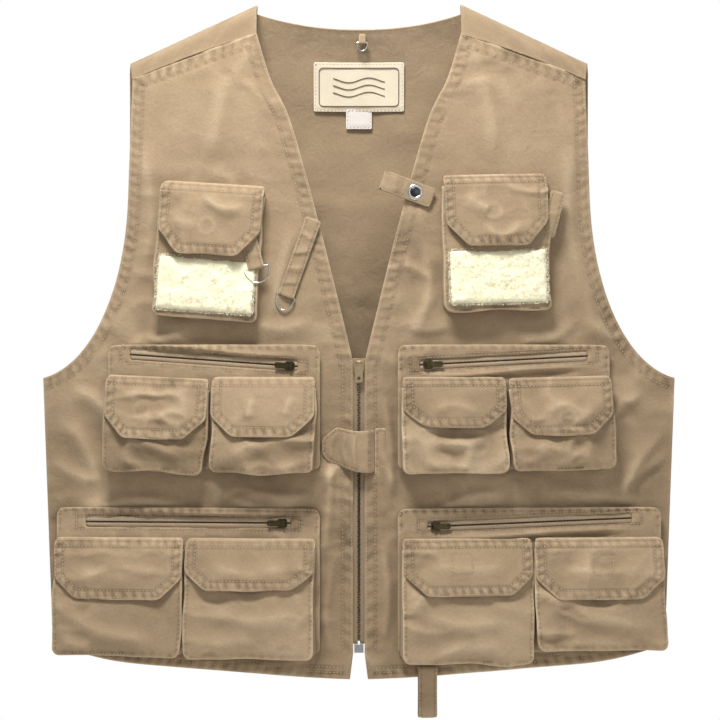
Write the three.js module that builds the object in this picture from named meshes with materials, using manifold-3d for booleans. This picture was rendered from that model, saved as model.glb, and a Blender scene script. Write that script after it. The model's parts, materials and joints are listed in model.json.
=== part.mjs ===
// A fishing vest, hanging closed as on a hanger. Millimetres, +Z up, front towards -Y.
// The origin is midway between the neck ends of the two shoulders, on top of the shoulder folds.
// "right" and "left" are the wearer's: right is -X, left is +X.
import * as THREE from "three";
import { mergeVertices } from "three/addons/utils/BufferGeometryUtils.js";
import Module from "manifold-3d";

const wasm = await Module();
wasm.setup();

// ---------------------------------------------------------------- driving dimensions

const GAP = 0.3;             // clearance between pieces sewn or clipped together
const CLOTH = 1.2;           // lined cotton twill
const WEBBING = 1.6;         // a tab of doubled twill

// The body, measured from the centre line and down from the shoulder's neck end
const CHEST_HALF = 291;      // half the width from armpit to armpit
const HEM_TAPER = 6;         // the side seam leans in this much on its way down
const HALF_DEPTH = 32;       // the mid plane to the front
const NECK_HALF = 94;
const SHOULDER_HALF = 212;
const SHOULDER_DROP = 55;    // the shoulder falls this much from neck to arm
const SHOULDER_SHARE = 0.25; // share of the full depth that is left at the shoulder's height
const FULL_DEPTH_DROP = 150; // the depth is full from here down
const PIT_DROP = 344;
const BACK_NECK_DROP = 21;
const SEAM_DROP_NECK = 27;   // the back wraps over the shoulder as far as this seam
const SEAM_DROP_ARM = 13;
const FLAT_HALF = 20;        // the flat strip that carries the zip

// Rows of pockets, from the top down
const CHEST_HEIGHT = 124;
const CHEST_WIDTH = 97;
const RIGHT_CHEST = { top: 166, inner: 84, tilt: 3.9 };
const LEFT_CHEST = { top: 158, inner: 75, tilt: -1.6 };
const CHEST_TO_MID = 23;
const MID_BAND = 30;         // the zipped band above the cargo pockets
const MID_HEIGHT = 88;       // the cargo pockets below it
const MID_TO_LOWER = 31;
const LOWER_BAND = 28;
const LOWER_HEIGHT = 108;
const HEM_BELOW_POCKETS = 20;
const HEM_SIDE_RISE = 28;
const HEM_SPLIT = 24;        // height of the notch below the zip
const POCKET_INNER = 38;     // centre line to the innermost cargo pocket
const ZIP_POCKET_INNER = 35; // centre line to a zipped pocket
const MID_INSET = 60;        // outermost pocket to the side seam's line
const LOWER_INSET = 12;
const POCKET_SPACE = 2;      // between neighbouring pockets
const ZIP_POCKET = 5;        // thickness of a zipped pocket lying flat
const WINDOW_HALF = 5.5;     // half the height of the window that shows a zip
const MID_WINDOW_END = 20;   // from the window to the pocket's end
const LOWER_WINDOW_END = 27;
const MOUTH_DROP = 10;       // from the flap's hinge line down to the pocket's mouth
const MOUTH_DEPTH = 8;
const CHEST_DEPTH = 14;      // depth of a pocket at its bottom
const MID_DEPTH = 18;
const LOWER_DEPTH = 23;
const FLAP_LIFT = 1.6;       // from the pocket's front to its flap
const CHEST_FLAP_LIFT = 4.2; // room for a webbing tab under the flap
const FLAP_SIDE = 0.66;      // share of a flap's height where its corners are cut
const FLAP_CUT = 20;         // width of a cut corner
const CHEST_FLAP = 66;       // height of a chest pocket's flap
const FLEECE = 6;
const FLEECE_SIDE = 4;       // pocket's side to the fleece
const FLEECE_ABOVE = 3;      // fleece to the flap's lower edge
const FLEECE_BELOW = 6;      // fleece to the pocket's bottom
const RING_NOTCH = 13;       // the fleece is cut back this much beside the ring

// Zips: half widths run across the chain
const COIL_ZIP = {
  slot: 0.7, teeth: 2.6, thickness: 1.8, tape: 5.2, tapeThickness: 0.6,
  sliderLength: 9.2, sliderWidth: 8.4, plate: 1, pullLength: 15, pullWidth: 5.4, pullHole: 0.9,
};
const MAIN_ZIP = {
  slot: 0.8, teeth: 3, thickness: 2.4, tape: 17, tapeThickness: 0.8,
  sliderLength: 13.8, sliderWidth: 9.7, plate: 1.2, pullLength: 19, pullWidth: 7, pullHole: 1.6,
};
const ZIP_TOP = 326;         // the zip's upper end, where the V of the neck closes
const ZIP_CLEAR = 1;         // panel edge to the slider's side
const RETAINER = 8;          // height of the box at the zip's lower end
const PIN_RADIUS = 0.5;      // the slider's pin that its pull turns on
const PIN_CLEAR = 0.25;
const EYE_RADIUS = 1.25;
const EYE_HALF = 1.5;
const STOP = 2.5;            // length of the stop at each end of a pocket's zip

// Tabs and rings. "drop" is measured down from the surface's top or from the flap's hinge line.
const WIRE = 0.8;            // radius of the wire of every ring
const TAB_WIDTH = 15;
const HANG_TAB_WIDTH = 6.5;
const CHEST_RING = { width: TAB_WIDTH + 8.4, drop: 14 };
const NECK_RING = { width: TAB_WIDTH + 2.8, drop: 14 };
const HANG_RING = { width: HANG_TAB_WIDTH + 3.5, drop: 8 };
const BARREL_WALL = 0.9;     // cloth around a ring's bar
const CHEST_TAB = { length: 36, drop: 75, inset: 3, turn: -19 };
const PLAIN_TAB = { length: 42, drop: 58, inset: 2, turn: 16 };
const NECK_TAB = { length: 74, drop: 199, out: 41, turn: 20 };
const SNAP_TAB = { length: 48, width: 18, drop: 164, out: 22, turn: 20, base: 44, cap: 31 };
const SNAP_RADIUS = 7.6;
const SNAP_HEIGHT = 2;
const WAIST_TAB = { hinge: 13.8, out: 5.5, height: 37, drop: 50 };
const LOOP = { width: 17, depth: 10, length: 49, out: 62 };
const HANG_TAB = { length: 8, drop: 4, aside: 3 };
const LABEL = { half: 42, height: 45, drop: 30, tagHalf: 12.5, tagHeight: 16, thickness: 0.6 };

// ---------------------------------------------------------------- derived values

const LOWEST_CHEST = Math.max(RIGHT_CHEST.top, LEFT_CHEST.top) + CHEST_HEIGHT;
const MID_TOP = LOWEST_CHEST + CHEST_TO_MID;
const MID_FLAP = MID_TOP + MID_BAND;
const LOWER_TOP = MID_FLAP + MID_HEIGHT + MID_TO_LOWER;
const LOWER_FLAP = LOWER_TOP + LOWER_BAND;
const HEM_DROP = LOWER_FLAP + LOWER_HEIGHT + HEM_BELOW_POCKETS;
const SIDE_DROP = HEM_DROP - HEM_SIDE_RISE;
const ZIP_BOTTOM = HEM_DROP - HEM_SPLIT;
const HEM_HALF = CHEST_HALF - HEM_TAPER;
const SEAM_HALF_DEPTH = CLOTH + GAP / 2;
const LEAN = Math.atan((HALF_DEPTH - SEAM_HALF_DEPTH) / (CHEST_HALF - FLAT_HALF));
const PANEL_EDGE = MAIN_ZIP.sliderWidth / 2 + ZIP_CLEAR;
const BARREL = WIRE + GAP + BARREL_WALL;
const FLAP_AXIS = GAP + CLOTH / 2;   // hinge line to the surface that the flap is sewn to
const FLEECE_TOP = -CHEST_FLAP - FLEECE_ABOVE;

const rad = THREE.MathUtils.degToRad;

// ---------------------------------------------------------------- solids

function solidFrom(geometry) {
  const bare = geometry.clone();
  bare.deleteAttribute("normal");
  bare.deleteAttribute("uv");
  const merged = mergeVertices(bare, 1e-4);
  const mesh = new wasm.Mesh({
    numProp: 3,
    vertProperties: new Float32Array(merged.attributes.position.array),
    triVerts: new Uint32Array(merged.index.array),
  });
  return new wasm.Manifold(mesh);
}

function geometryFrom(solid) {
  const mesh = solid.getMesh();
  const geometry = new THREE.BufferGeometry();
  geometry.setAttribute("position", new THREE.BufferAttribute(new Float32Array(mesh.vertProperties), 3));
  geometry.setIndex(new THREE.BufferAttribute(new Uint32Array(mesh.triVerts), 1));
  geometry.computeVertexNormals();
  return geometry;
}

const join = (...parts) => parts.reduce((whole, part) => whole.add(part));

// A box between two corners
function block(x0, x1, y0, y1, z0, z1) {
  const geometry = new THREE.BoxGeometry(x1 - x0, y1 - y0, z1 - z0);
  geometry.translate((x0 + x1) / 2, (y0 + y1) / 2, (z0 + z1) / 2);
  return solidFrom(geometry);
}

// A shape drawn as (first axis, second axis) and pushed along the third
function extrude(shape, depth, first, second, third, segments = 8) {
  const geometry = new THREE.ExtrudeGeometry(shape, { depth, bevelEnabled: false, curveSegments: segments });
  geometry.applyMatrix4(new THREE.Matrix4().makeBasis(first, second, third));
  return geometry;
}

const X = new THREE.Vector3(1, 0, 0);
const Z = new THREE.Vector3(0, 0, 1);
const OUT = new THREE.Vector3(0, -1, 0);
const minus = (axis) => axis.clone().negate();

// (out, up) profile, centred on X
function acrossWidth(shape, width, segments) {
  const geometry = extrude(shape, width, OUT, Z, minus(X), segments);
  geometry.translate(width / 2, 0, 0);
  return solidFrom(geometry);
}

// (x, up) outline, pushed outward from `from` to `to`
function outward(shape, from, to, segments) {
  const geometry = extrude(shape, to - from, X, Z, OUT, segments);
  geometry.translate(0, -from, 0);
  return solidFrom(geometry);
}

// (x, out) profile, pushed down from z = 0
const downward = (shape, height) => solidFrom(extrude(shape, height, X, OUT, minus(Z)));

function polygon(points) {
  return new THREE.Shape(points.map(([x, y]) => new THREE.Vector2(x, y)));
}

// The outline of a strap of even thickness along a line of points, round at its first end
function strapShape(points, thickness) {
  const line = points.map(([x, y]) => new THREE.Vector2(x, y));
  const half = thickness / 2;
  const sides = line.map((point, i) => {
    const before = (i > 0 ? point.clone().sub(line[i - 1]) : line[1].clone().sub(point)).normalize();
    const after = (i < line.length - 1 ? line[i + 1].clone().sub(point) : before.clone()).normalize();
    const tangent = before.clone().add(after).normalize();
    const normal = new THREE.Vector2(-tangent.y, tangent.x);
    return normal.multiplyScalar(half / Math.max(tangent.dot(before), 0.5));
  });
  const leftSide = line.map((point, i) => point.clone().add(sides[i]));
  const rightSide = line.map((point, i) => point.clone().sub(sides[i]));
  const startAngle = Math.atan2(-sides[0].y, -sides[0].x);
  const cap = [1, 2, 3].map((step) => {
    const angle = startAngle - (step * Math.PI) / 4;
    return new THREE.Vector2(line[0].x + half * Math.cos(angle), line[0].y + half * Math.sin(angle));
  });
  return new THREE.Shape([...leftSide, ...rightSide.reverse(), ...cap]);
}

function roundedRectangle(halfX, halfY, radius) {
  const shape = new THREE.Shape();
  shape.moveTo(halfX, -halfY + radius);
  shape.absarc(halfX - radius, halfY - radius, radius, 0, Math.PI / 2);
  shape.absarc(-halfX + radius, halfY - radius, radius, Math.PI / 2, Math.PI);
  shape.absarc(-halfX + radius, -halfY + radius, radius, Math.PI, 1.5 * Math.PI);
  shape.absarc(halfX - radius, -halfY + radius, radius, 1.5 * Math.PI, 2 * Math.PI);
  return shape;
}

// A closed wire ring with a straight bar, its origin at the bar's middle
function ringGeometry({ width, drop }) {
  const half = width / 2;
  const barSteps = 3;
  const arcSteps = 13;
  const path = [];
  for (let i = 0; i < barSteps; i += 1) {
    path.push(new THREE.Vector2(-half + (width * i) / barSteps, 0));
  }
  for (let i = 0; i < arcSteps; i += 1) {
    const angle = (Math.PI * i) / arcSteps;
    path.push(new THREE.Vector2(half * Math.cos(angle), -drop * Math.sin(angle)));
  }
  const count = path.length;
  const sides = 8;
  const geometry = new THREE.TorusGeometry(half, WIRE, sides, count);
  const position = geometry.attributes.position;
  for (let i = 0; i < position.count; i += 1) {
    const around = (i % (count + 1)) % count;
    const turn = (2 * Math.PI * (Math.floor(i / (count + 1)) % sides)) / sides;
    const before = path[(around + count - 1) % count];
    const after = path[(around + 1) % count];
    const here = path[around];
    const inTangent = here.clone().sub(before).normalize();
    const tangent = after.clone().sub(here).normalize().add(inTangent).normalize();
    const normal = new THREE.Vector2(tangent.y, -tangent.x);
    const reach = (-WIRE * Math.cos(turn)) / Math.max(tangent.dot(inTangent), 0.6);
    position.setXYZ(i, here.x + normal.x * reach, WIRE * Math.sin(turn), here.y + normal.y * reach);
  }
  return geometryFrom(solidFrom(geometry));
}

// ---------------------------------------------------------------- the body's surface

// Share of the full depth at a height
const LEVELS = [0, 15, 32, 55, 80, 110, FULL_DEPTH_DROP];
function fullness(z) {
  const at = (level) => {
    const left = 1 - Math.min(Math.max(level, 0), FULL_DEPTH_DROP) / FULL_DEPTH_DROP;
    return SHOULDER_SHARE + (1 - SHOULDER_SHARE) * (1 - left * left);
  };
  const drop = Math.min(Math.max(-z, 0), FULL_DEPTH_DROP);
  const upper = LEVELS.findLast((level) => level <= drop);
  const lower = LEVELS.find((level) => level > drop) ?? FULL_DEPTH_DROP;
  if (lower === upper) return at(upper);
  return at(upper) + ((at(lower) - at(upper)) * (drop - upper)) / (lower - upper);
}

// Distance from the mid plane to the outside of the cloth
function depthAt(x, z) {
  const lean = Math.max(Math.abs(x) - FLAT_HALF, 0) * Math.tan(LEAN);
  return (HALF_DEPTH - lean) * fullness(z);
}

const shoulderLine = (x) => (-SHOULDER_DROP * (Math.abs(x) - NECK_HALF)) / (SHOULDER_HALF - NECK_HALF);

// Half the thickness of the shoulder, where the cloth folds over
function shoulderRadius(x) {
  let radius = depthAt(x, shoulderLine(x));
  for (let i = 0; i < 4; i += 1) radius = depthAt(x, shoulderLine(x) - radius);
  return radius;
}

// A sheet of cloth on the surface. side -1 is the front, 1 the back; inset is measured inward.
function sheet(side, x0, x1, z0, z1, inset, thickness) {
  const columns = [-SHOULDER_HALF, -NECK_HALF, -FLAT_HALF, FLAT_HALF, NECK_HALF, SHOULDER_HALF];
  const rows = LEVELS.map((level) => -level).reverse();
  const between = (lines, low, high) => [low, ...lines.filter((v) => v > low + 1 && v < high - 1), high];
  const xs = between(columns, x0, x1);
  const zs = between(rows, z0, z1);
  const geometry = new THREE.BoxGeometry(1, 1, 1, xs.length - 1, 1, zs.length - 1);
  const position = geometry.attributes.position;
  for (let i = 0; i < position.count; i += 1) {
    const x = xs[Math.round((position.getX(i) + 0.5) * (xs.length - 1))];
    const z = zs[Math.round((position.getZ(i) + 0.5) * (zs.length - 1))];
    const isFront = position.getY(i) < 0;
    const isOuter = isFront === side < 0;
    const depth = depthAt(x, z) - inset - (isOuter ? 0 : thickness);
    position.setXYZ(i, x, side * depth, z);
  }
  return solidFrom(geometry);
}

const BIG = 2000;
const prism = (shape, segments) => outward(shape, -BIG, BIG, segments);

// ---------------------------------------------------------------- body panels

const EDGE_OUT = CHEST_HALF + 20;
const EDGE_DOWN = -HEM_DROP - 20;

// The armhole from the armpit up to a height on the shoulder
function armhole(shape, side, topX, topZ) {
  const straight = -0.52 * PIT_DROP;
  shape.lineTo(side * CHEST_HALF, -PIT_DROP);
  shape.bezierCurveTo(
    side * (SHOULDER_HALF + 0.5 * (CHEST_HALF - SHOULDER_HALF)), -0.97 * PIT_DROP,
    side * (SHOULDER_HALF + 4), -0.8 * PIT_DROP,
    side * SHOULDER_HALF, straight,
  );
  shape.lineTo(side * topX, topZ);
}

function frontPanel(side) {
  const neckSeam = shoulderLine(NECK_HALF) - SEAM_DROP_NECK;
  const armSeam = shoulderLine(SHOULDER_HALF) - SEAM_DROP_ARM;
  const shape = new THREE.Shape();
  shape.moveTo(side * PANEL_EDGE, -ZIP_BOTTOM);
  shape.lineTo(side * (PANEL_EDGE + 3), -HEM_DROP);
  shape.quadraticCurveTo(side * HEM_HALF * 0.5, -HEM_DROP + 8, side * HEM_HALF, -SIDE_DROP);
  armhole(shape, side, SHOULDER_HALF - 4, armSeam);
  shape.lineTo(side * NECK_HALF, neckSeam);
  shape.splineThru([
    new THREE.Vector2(side * NECK_HALF * 0.7, -ZIP_TOP * 0.33),
    new THREE.Vector2(side * NECK_HALF * 0.38, -ZIP_TOP * 0.63),
    new THREE.Vector2(side * PANEL_EDGE, -ZIP_TOP),
  ]);
  const [x0, x1] = side > 0 ? [0, EDGE_OUT] : [-EDGE_OUT, 0];
  const cloth = sheet(-1, x0, x1, EDGE_DOWN, 10, 0, CLOTH);
  return cloth.intersect(prism(shape, 7));
}

// The fold over one shoulder, from the front yoke to the back
function shoulderFold(side) {
  const steps = 8;
  const tail = 1.5;
  const geometry = new THREE.BoxGeometry(1, 1, 1, 3, steps + 2, 1);
  const position = geometry.attributes.position;
  for (let i = 0; i < position.count; i += 1) {
    const along = position.getX(i) + 0.5;
    const step = Math.round((position.getY(i) + 0.5) * (steps + 2)) - 1;
    const x = side * (side > 0
      ? THREE.MathUtils.lerp(NECK_HALF, SHOULDER_HALF, along)
      : THREE.MathUtils.lerp(SHOULDER_HALF, NECK_HALF, along));
    const angle = Math.PI * (Math.min(Math.max(step, 0), steps) / steps - 0.5);
    const isOuter = position.getZ(i) > 0;
    const radius = shoulderRadius(x) - (isOuter ? 0.1 : CLOTH - 0.1);
    const isTail = step < 0 || step > steps;
    const z = shoulderLine(x) - shoulderRadius(x) + radius * Math.cos(angle) - (isTail ? tail : 0);
    position.setXYZ(i, x, radius * Math.sin(angle), z);
  }
  return solidFrom(geometry);
}

function backPanel() {
  const topOf = (x) => shoulderLine(x) - shoulderRadius(x);
  const shape = new THREE.Shape();
  shape.moveTo(-HEM_HALF, -SIDE_DROP);
  shape.lineTo(HEM_HALF, -SIDE_DROP);
  armhole(shape, 1, SHOULDER_HALF, topOf(SHOULDER_HALF));
  shape.lineTo(NECK_HALF, topOf(NECK_HALF));
  shape.quadraticCurveTo(0, -2 * BACK_NECK_DROP - topOf(NECK_HALF), -NECK_HALF, topOf(NECK_HALF));
  shape.lineTo(-SHOULDER_HALF, topOf(SHOULDER_HALF));
  const leftSide = new THREE.Shape();
  leftSide.moveTo(-HEM_HALF, -SIDE_DROP);
  armhole(leftSide, -1, SHOULDER_HALF, topOf(SHOULDER_HALF));
  const armholePoints = leftSide.getPoints(7).reverse();
  for (const point of armholePoints.slice(1, -1)) shape.lineTo(point.x, point.y);
  let solid = sheet(1, -EDGE_OUT, EDGE_OUT, EDGE_DOWN, 10, 0, CLOTH).intersect(prism(shape, 7));
  for (const side of [-1, 1]) {
    const yoke = polygon([
      [side * NECK_HALF, topOf(NECK_HALF)],
      [side * SHOULDER_HALF, topOf(SHOULDER_HALF)],
      [side * (SHOULDER_HALF - 4), shoulderLine(SHOULDER_HALF) - SEAM_DROP_ARM + GAP],
      [side * NECK_HALF, shoulderLine(NECK_HALF) - SEAM_DROP_NECK + GAP],
    ]);
    const [x0, x1] = side > 0 ? [0, EDGE_OUT] : [-EDGE_OUT, 0];
    const front = sheet(-1, x0, x1, -PIT_DROP, 10, 0, CLOTH).intersect(prism(yoke));
    solid = join(solid, front, shoulderFold(side));
  }
  return solid;
}

// ---------------------------------------------------------------- pockets

const cornerRound = (bottomDepth) => Math.min(6, bottomDepth * 0.45);

// How far a pocket's front leans out for each millimetre down
function frontSlope(height, bottomDepth) {
  return (bottomDepth - MOUTH_DEPTH) / (height - cornerRound(bottomDepth) - MOUTH_DROP);
}

// An open-topped bag. z = 0 is the flap's hinge line, its back lies GAP off the surface at y = 0.
function bag(width, height, bottomDepth) {
  const round = cornerRound(bottomDepth);
  const outline = (inset, top) => {
    const back = GAP + inset;
    const shape = new THREE.Shape();
    shape.moveTo(back, top);
    shape.lineTo(back, -height + inset);
    shape.lineTo(bottomDepth - round, -height + inset);
    shape.quadraticCurveTo(bottomDepth - inset, -height + inset, bottomDepth - inset, -height + round);
    shape.lineTo(MOUTH_DEPTH - inset, -MOUTH_DROP);
    if (top > -MOUTH_DROP) shape.lineTo(MOUTH_DEPTH - inset, top);
    return shape;
  };
  const outer = acrossWidth(outline(0, -MOUTH_DROP), width, 3);
  return outer.subtract(acrossWidth(outline(CLOTH, 0), width - 2 * CLOTH, 3));
}

// A flap that hangs from a hinge line at the origin over a pocket's front
function flap(width, height, lift, slope) {
  const start = MOUTH_DEPTH + lift - FLAP_AXIS;
  const profile = strapShape([
    [0, 0],
    [start, -MOUTH_DROP],
    [start + slope * (height - MOUTH_DROP), -height],
  ], CLOTH);
  const half = width / 2;
  const cut = polygon([
    [-half, BIG / 10], [-half, -height * FLAP_SIDE], [-half + FLAP_CUT, -height],
    [half - FLAP_CUT, -height], [half, -height * FLAP_SIDE], [half, BIG / 10],
  ]);
  return acrossWidth(profile, width).intersect(prism(cut));
}
// ---------------------------------------------------------------- zips

// In a zip's own frame x runs along the chain, the slider's closed end at 0, and y = 0 is the tape.
function teethAndTape(zip, side, x0, x1) {
  const across = (near, far) => (side > 0 ? [near, far] : [-far, -near]);
  const [t0, t1] = across(zip.slot, zip.teeth);
  const [p0, p1] = across(zip.teeth - 0.5, zip.tape);
  const teeth = block(x0, x1, -zip.thickness / 2, zip.thickness / 2, t0, t1);
  return teeth.add(block(x0, x1, -zip.tapeThickness / 2, zip.tapeThickness / 2, p0, p1));
}

function chain(zip, length) {
  const ends = [[0, STOP], [length - STOP, length]].map(([x0, x1]) => (
    block(x0, x1, -zip.thickness / 2, zip.thickness / 2, -zip.teeth, zip.teeth)));
  return join(teethAndTape(zip, 1, 0, length), teethAndTape(zip, -1, 0, length), ...ends);
}

const pinOut = (zip) => zip.thickness / 2 + GAP + zip.plate + 2 * GAP + EYE_RADIUS;
const pinBack = (zip) => -zip.sliderLength / 2 + 3;

// Two plates joined by a post that runs between the rows of teeth, and a pin for the pull
function slider(zip) {
  const near = zip.thickness / 2 + GAP;
  const plateShape = roundedRectangle(zip.sliderLength / 2, zip.sliderWidth / 2, zip.sliderWidth * 0.3);
  const front = outward(plateShape, near, near + zip.plate, 3);
  const back = outward(plateShape, -near - zip.plate, -near, 3);
  const postEnd = -zip.sliderLength / 2 + 0.6;
  const post = block(postEnd, postEnd + 2.4, -near - 0.2, near + 0.2, GAP - zip.slot, zip.slot - GAP);
  const pinHalf = EYE_HALF + GAP + 1;
  const pin = new THREE.CylinderGeometry(PIN_RADIUS, PIN_RADIUS, 2 * pinHalf - 0.4, 8);
  pin.rotateX(Math.PI / 2).translate(pinBack(zip), -pinOut(zip), 0);
  const ears = [-1, 1].map((side) => {
    const [z0, z1] = side > 0 ? [pinHalf - 1, pinHalf] : [-pinHalf, 1 - pinHalf];
    return block(pinBack(zip) - 1, pinBack(zip) + 1, -pinOut(zip) - 0.7, -near - 0.2, z0, z1);
  });
  return join(front, back, post, solidFrom(pin), ...ears);
}

// A pull tab, its origin on the pin
function pull(zip) {
  const eye = new THREE.CylinderGeometry(EYE_RADIUS, EYE_RADIUS, 2 * EYE_HALF, 10).rotateX(Math.PI / 2);
  const hole = new THREE.CylinderGeometry(PIN_RADIUS + PIN_CLEAR, PIN_RADIUS + PIN_CLEAR, 8, 10);
  const halfThick = 0.55;
  const neckEnd = EYE_RADIUS + 1.6;
  const neck = block(0, neckEnd + 1, -halfThick, halfThick, -EYE_HALF, EYE_HALF);
  const halfLength = (zip.pullLength - neckEnd) / 2;
  const paddle = new THREE.Matrix4().makeTranslation(neckEnd + halfLength, 0, 0);
  const blade = extrude(
    roundedRectangle(halfLength, zip.pullWidth / 2, 1.6), 2 * halfThick, X, Z, OUT, 3,
  ).translate(0, halfThick, 0).applyMatrix4(paddle);
  const gripHole = new THREE.CylinderGeometry(zip.pullHole, zip.pullHole, 8, 8);
  gripHole.translate(zip.pullLength - 2 * zip.pullHole - 0.6, 0, 0);
  return join(solidFrom(eye), neck, solidFrom(blade))
    .subtract(solidFrom(hole.rotateX(Math.PI / 2)))
    .subtract(solidFrom(gripHole));
}

// ---------------------------------------------------------------- tabs

// A strap with a tunnel at its lower end for a ring's bar. The origin is the tunnel's middle.
function ringTab(width, length) {
  const meet = Math.acos(WEBBING / 2 / BARREL);
  const shape = new THREE.Shape();
  shape.moveTo(WEBBING / 2, length);
  shape.lineTo(WEBBING / 2, BARREL * Math.sin(meet));
  shape.absarc(0, 0, BARREL, meet, Math.PI - meet, true);
  shape.lineTo(-WEBBING / 2, length);
  const tunnel = new THREE.Path();
  tunnel.absarc(0, 0, WIRE + GAP, 0, 2 * Math.PI, false);
  shape.holes.push(tunnel);
  return acrossWidth(shape, width, 5);
}

// ---------------------------------------------------------------- materials

const finishes = {
  twill: { color: 0xb49a78, roughness: 0.95, metalness: 0 },
  twillDark: { color: 0x9c8465, roughness: 0.95, metalness: 0 },
  fleece: { color: 0xfaf3c8, roughness: 1, metalness: 0 },
  label: { color: 0xe8dfc4, roughness: 0.8, metalness: 0 },
  tape: { color: 0x8a7556, roughness: 0.9, metalness: 0 },
  bronze: { color: 0x4a4230, roughness: 0.45, metalness: 0.9 },
  brass: { color: 0xc9b48a, roughness: 0.4, metalness: 0.8 },
  nickel: { color: 0xc8c8c8, roughness: 0.25, metalness: 1 },
};

const vest = new THREE.Group();
vest.name = "fishing_vest";

function add(parent, name, shape, finish, x = 0, y = 0, z = 0) {
  const geometry = shape.isBufferGeometry ? shape : geometryFrom(shape);
  const mesh = new THREE.Mesh(geometry, new THREE.MeshStandardMaterial(finishes[finish]));
  mesh.name = name;
  mesh.position.set(x, y, z);
  parent.add(mesh);
  return mesh;
}

function frame(parent, x, y, z, degreesAboutY = 0) {
  const group = new THREE.Group();
  group.position.set(x, y, z);
  group.rotation.y = rad(degreesAboutY);
  parent.add(group);
  return group;
}

// ---------------------------------------------------------------- assembly

add(vest, "back_panel", backPanel(), "twillDark");
add(vest, "front_panel_right", frontPanel(-1), "twill");
add(vest, "front_panel_left", frontPanel(1), "twill");

// The leaning outer surface of each front half, with y = 0 on the cloth
const walls = {};
for (const [name, side] of [["right", -1], ["left", 1]]) {
  walls[name] = frame(vest, side * FLAT_HALF, -HALF_DEPTH, 0);
  walls[name].rotation.z = side * LEAN;
  walls[name].userData.side = side;
}
// Place on a wall for a distance from the centre line, measured along the cloth
const alongWall = (side, distance) => side * (distance - FLAT_HALF);

function mainZip() {
  const tapeY = CLOTH + GAP + MAIN_ZIP.tapeThickness / 2;
  const zip = frame(vest, 0, -HALF_DEPTH + tapeY, -ZIP_TOP, 90);
  const length = ZIP_BOTTOM - ZIP_TOP;
  const rowsEnd = length - RETAINER - GAP;
  add(zip, "zip_stringer_left", teethAndTape(MAIN_ZIP, 1, 0, rowsEnd), "tape");
  add(zip, "zip_stringer_right", teethAndTape(MAIN_ZIP, -1, 0, rowsEnd), "tape");
  const box = block(rowsEnd + GAP, length, -2, 2, -MAIN_ZIP.teeth - 1.2, MAIN_ZIP.teeth + 1.2);
  add(zip, "zip_retainer_box", box, "nickel");
  const start = MAIN_ZIP.sliderLength / 2;
  add(zip, "zip_slider", slider(MAIN_ZIP), "brass", start, 0, 0);
  add(zip, "zip_pull", pull(MAIN_ZIP), "brass", start + pinBack(MAIN_ZIP), -pinOut(MAIN_ZIP), 0);
}
mainZip();

// The frame of a chest pocket's leaning front, y = 0 on the cloth, z still measured from the hinge
function pocketFront(place) {
  const front = frame(place, 0, -MOUTH_DEPTH, -MOUTH_DROP);
  front.rotation.x = -Math.atan(frontSlope(CHEST_HEIGHT, CHEST_DEPTH));
  return frame(front, 0, 0, MOUTH_DROP);
}

function chestPocket(name, { top, inner, tilt }) {
  const wall = walls[name];
  const middle = inner + CHEST_WIDTH / 2;
  const place = frame(wall, alongWall(wall.userData.side, middle), 0, -top, tilt);
  add(place, `${name}_chest_pocket`, bag(CHEST_WIDTH, CHEST_HEIGHT, CHEST_DEPTH), "twill");
  const slope = frontSlope(CHEST_HEIGHT, CHEST_DEPTH);
  const cover = flap(CHEST_WIDTH - 2, CHEST_FLAP, CHEST_FLAP_LIFT, slope);
  add(place, `${name}_chest_flap`, cover, "twill", 0, -FLAP_AXIS, 0);
  const front = pocketFront(place);
  const half = CHEST_WIDTH / 2 - FLEECE_SIDE;
  const bottom = -CHEST_HEIGHT + FLEECE_BELOW;
  const notchX = half - RING_NOTCH;
  const notchZ = FLEECE_TOP - RING_NOTCH - 12;
  const pad = polygon([
    [-half, bottom], [half, bottom], [half, notchZ],
    [notchX, notchZ + 2], [notchX, FLEECE_TOP], [-half, FLEECE_TOP],
  ]);
  add(front, `${name}_fleece_patch`, outward(pad, GAP, GAP + FLEECE), "fleece");
  return front;
}
const rightChest = chestPocket("right", RIGHT_CHEST);
const leftChest = chestPocket("left", LEFT_CHEST);

function zipPocket(name, wallName, top, band, height, inset, windowEnd, lean) {
  const wall = walls[wallName];
  const { side } = wall.userData;
  const outer = CHEST_HALF - inset;
  const inner = ZIP_POCKET_INNER;
  const width = outer - inner;
  const middle = alongWall(side, (outer + inner) / 2);
  const place = frame(wall, middle, 0, -top);
  const windowLength = width - 2 * windowEnd;
  const windowZ = -band * 0.5;
  const floor = ZIP_POCKET / 2 - COIL_ZIP.thickness / 2 - 2 * GAP - COIL_ZIP.plate;
  const tilt = side > 0 ? lean : 180 + lean;
  const zip = frame(place, 0, -(ZIP_POCKET / 2 + GAP), windowZ, tilt);
  const hole = new THREE.BoxGeometry(windowLength, BIG / 100, 2 * WINDOW_HALF);
  hole.translate(0, -BIG / 200 - floor, 0).rotateY(rad(lean)).translate(0, 0, windowZ);
  const slab = block(-width / 2, width / 2, -ZIP_POCKET - GAP, -GAP, -band - height + 4, 0);
  add(place, `${name}_zip_pocket`, slab.subtract(solidFrom(hole)), "twill");
  const chainLength = windowLength - 2 * GAP;
  add(zip, `${name}_zip_chain`, chain(COIL_ZIP, chainLength), "tape", -chainLength / 2, 0, 0);
  const start = -chainLength / 2 + STOP + GAP + COIL_ZIP.sliderLength / 2;
  add(zip, `${name}_zip_slider`, slider(COIL_ZIP), "bronze", start, 0, 0);
  add(zip, `${name}_zip_pull`, pull(COIL_ZIP), "bronze", start + pinBack(COIL_ZIP), -pinOut(COIL_ZIP), 0);
  return { inner: POCKET_INNER, outer };
}

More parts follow.
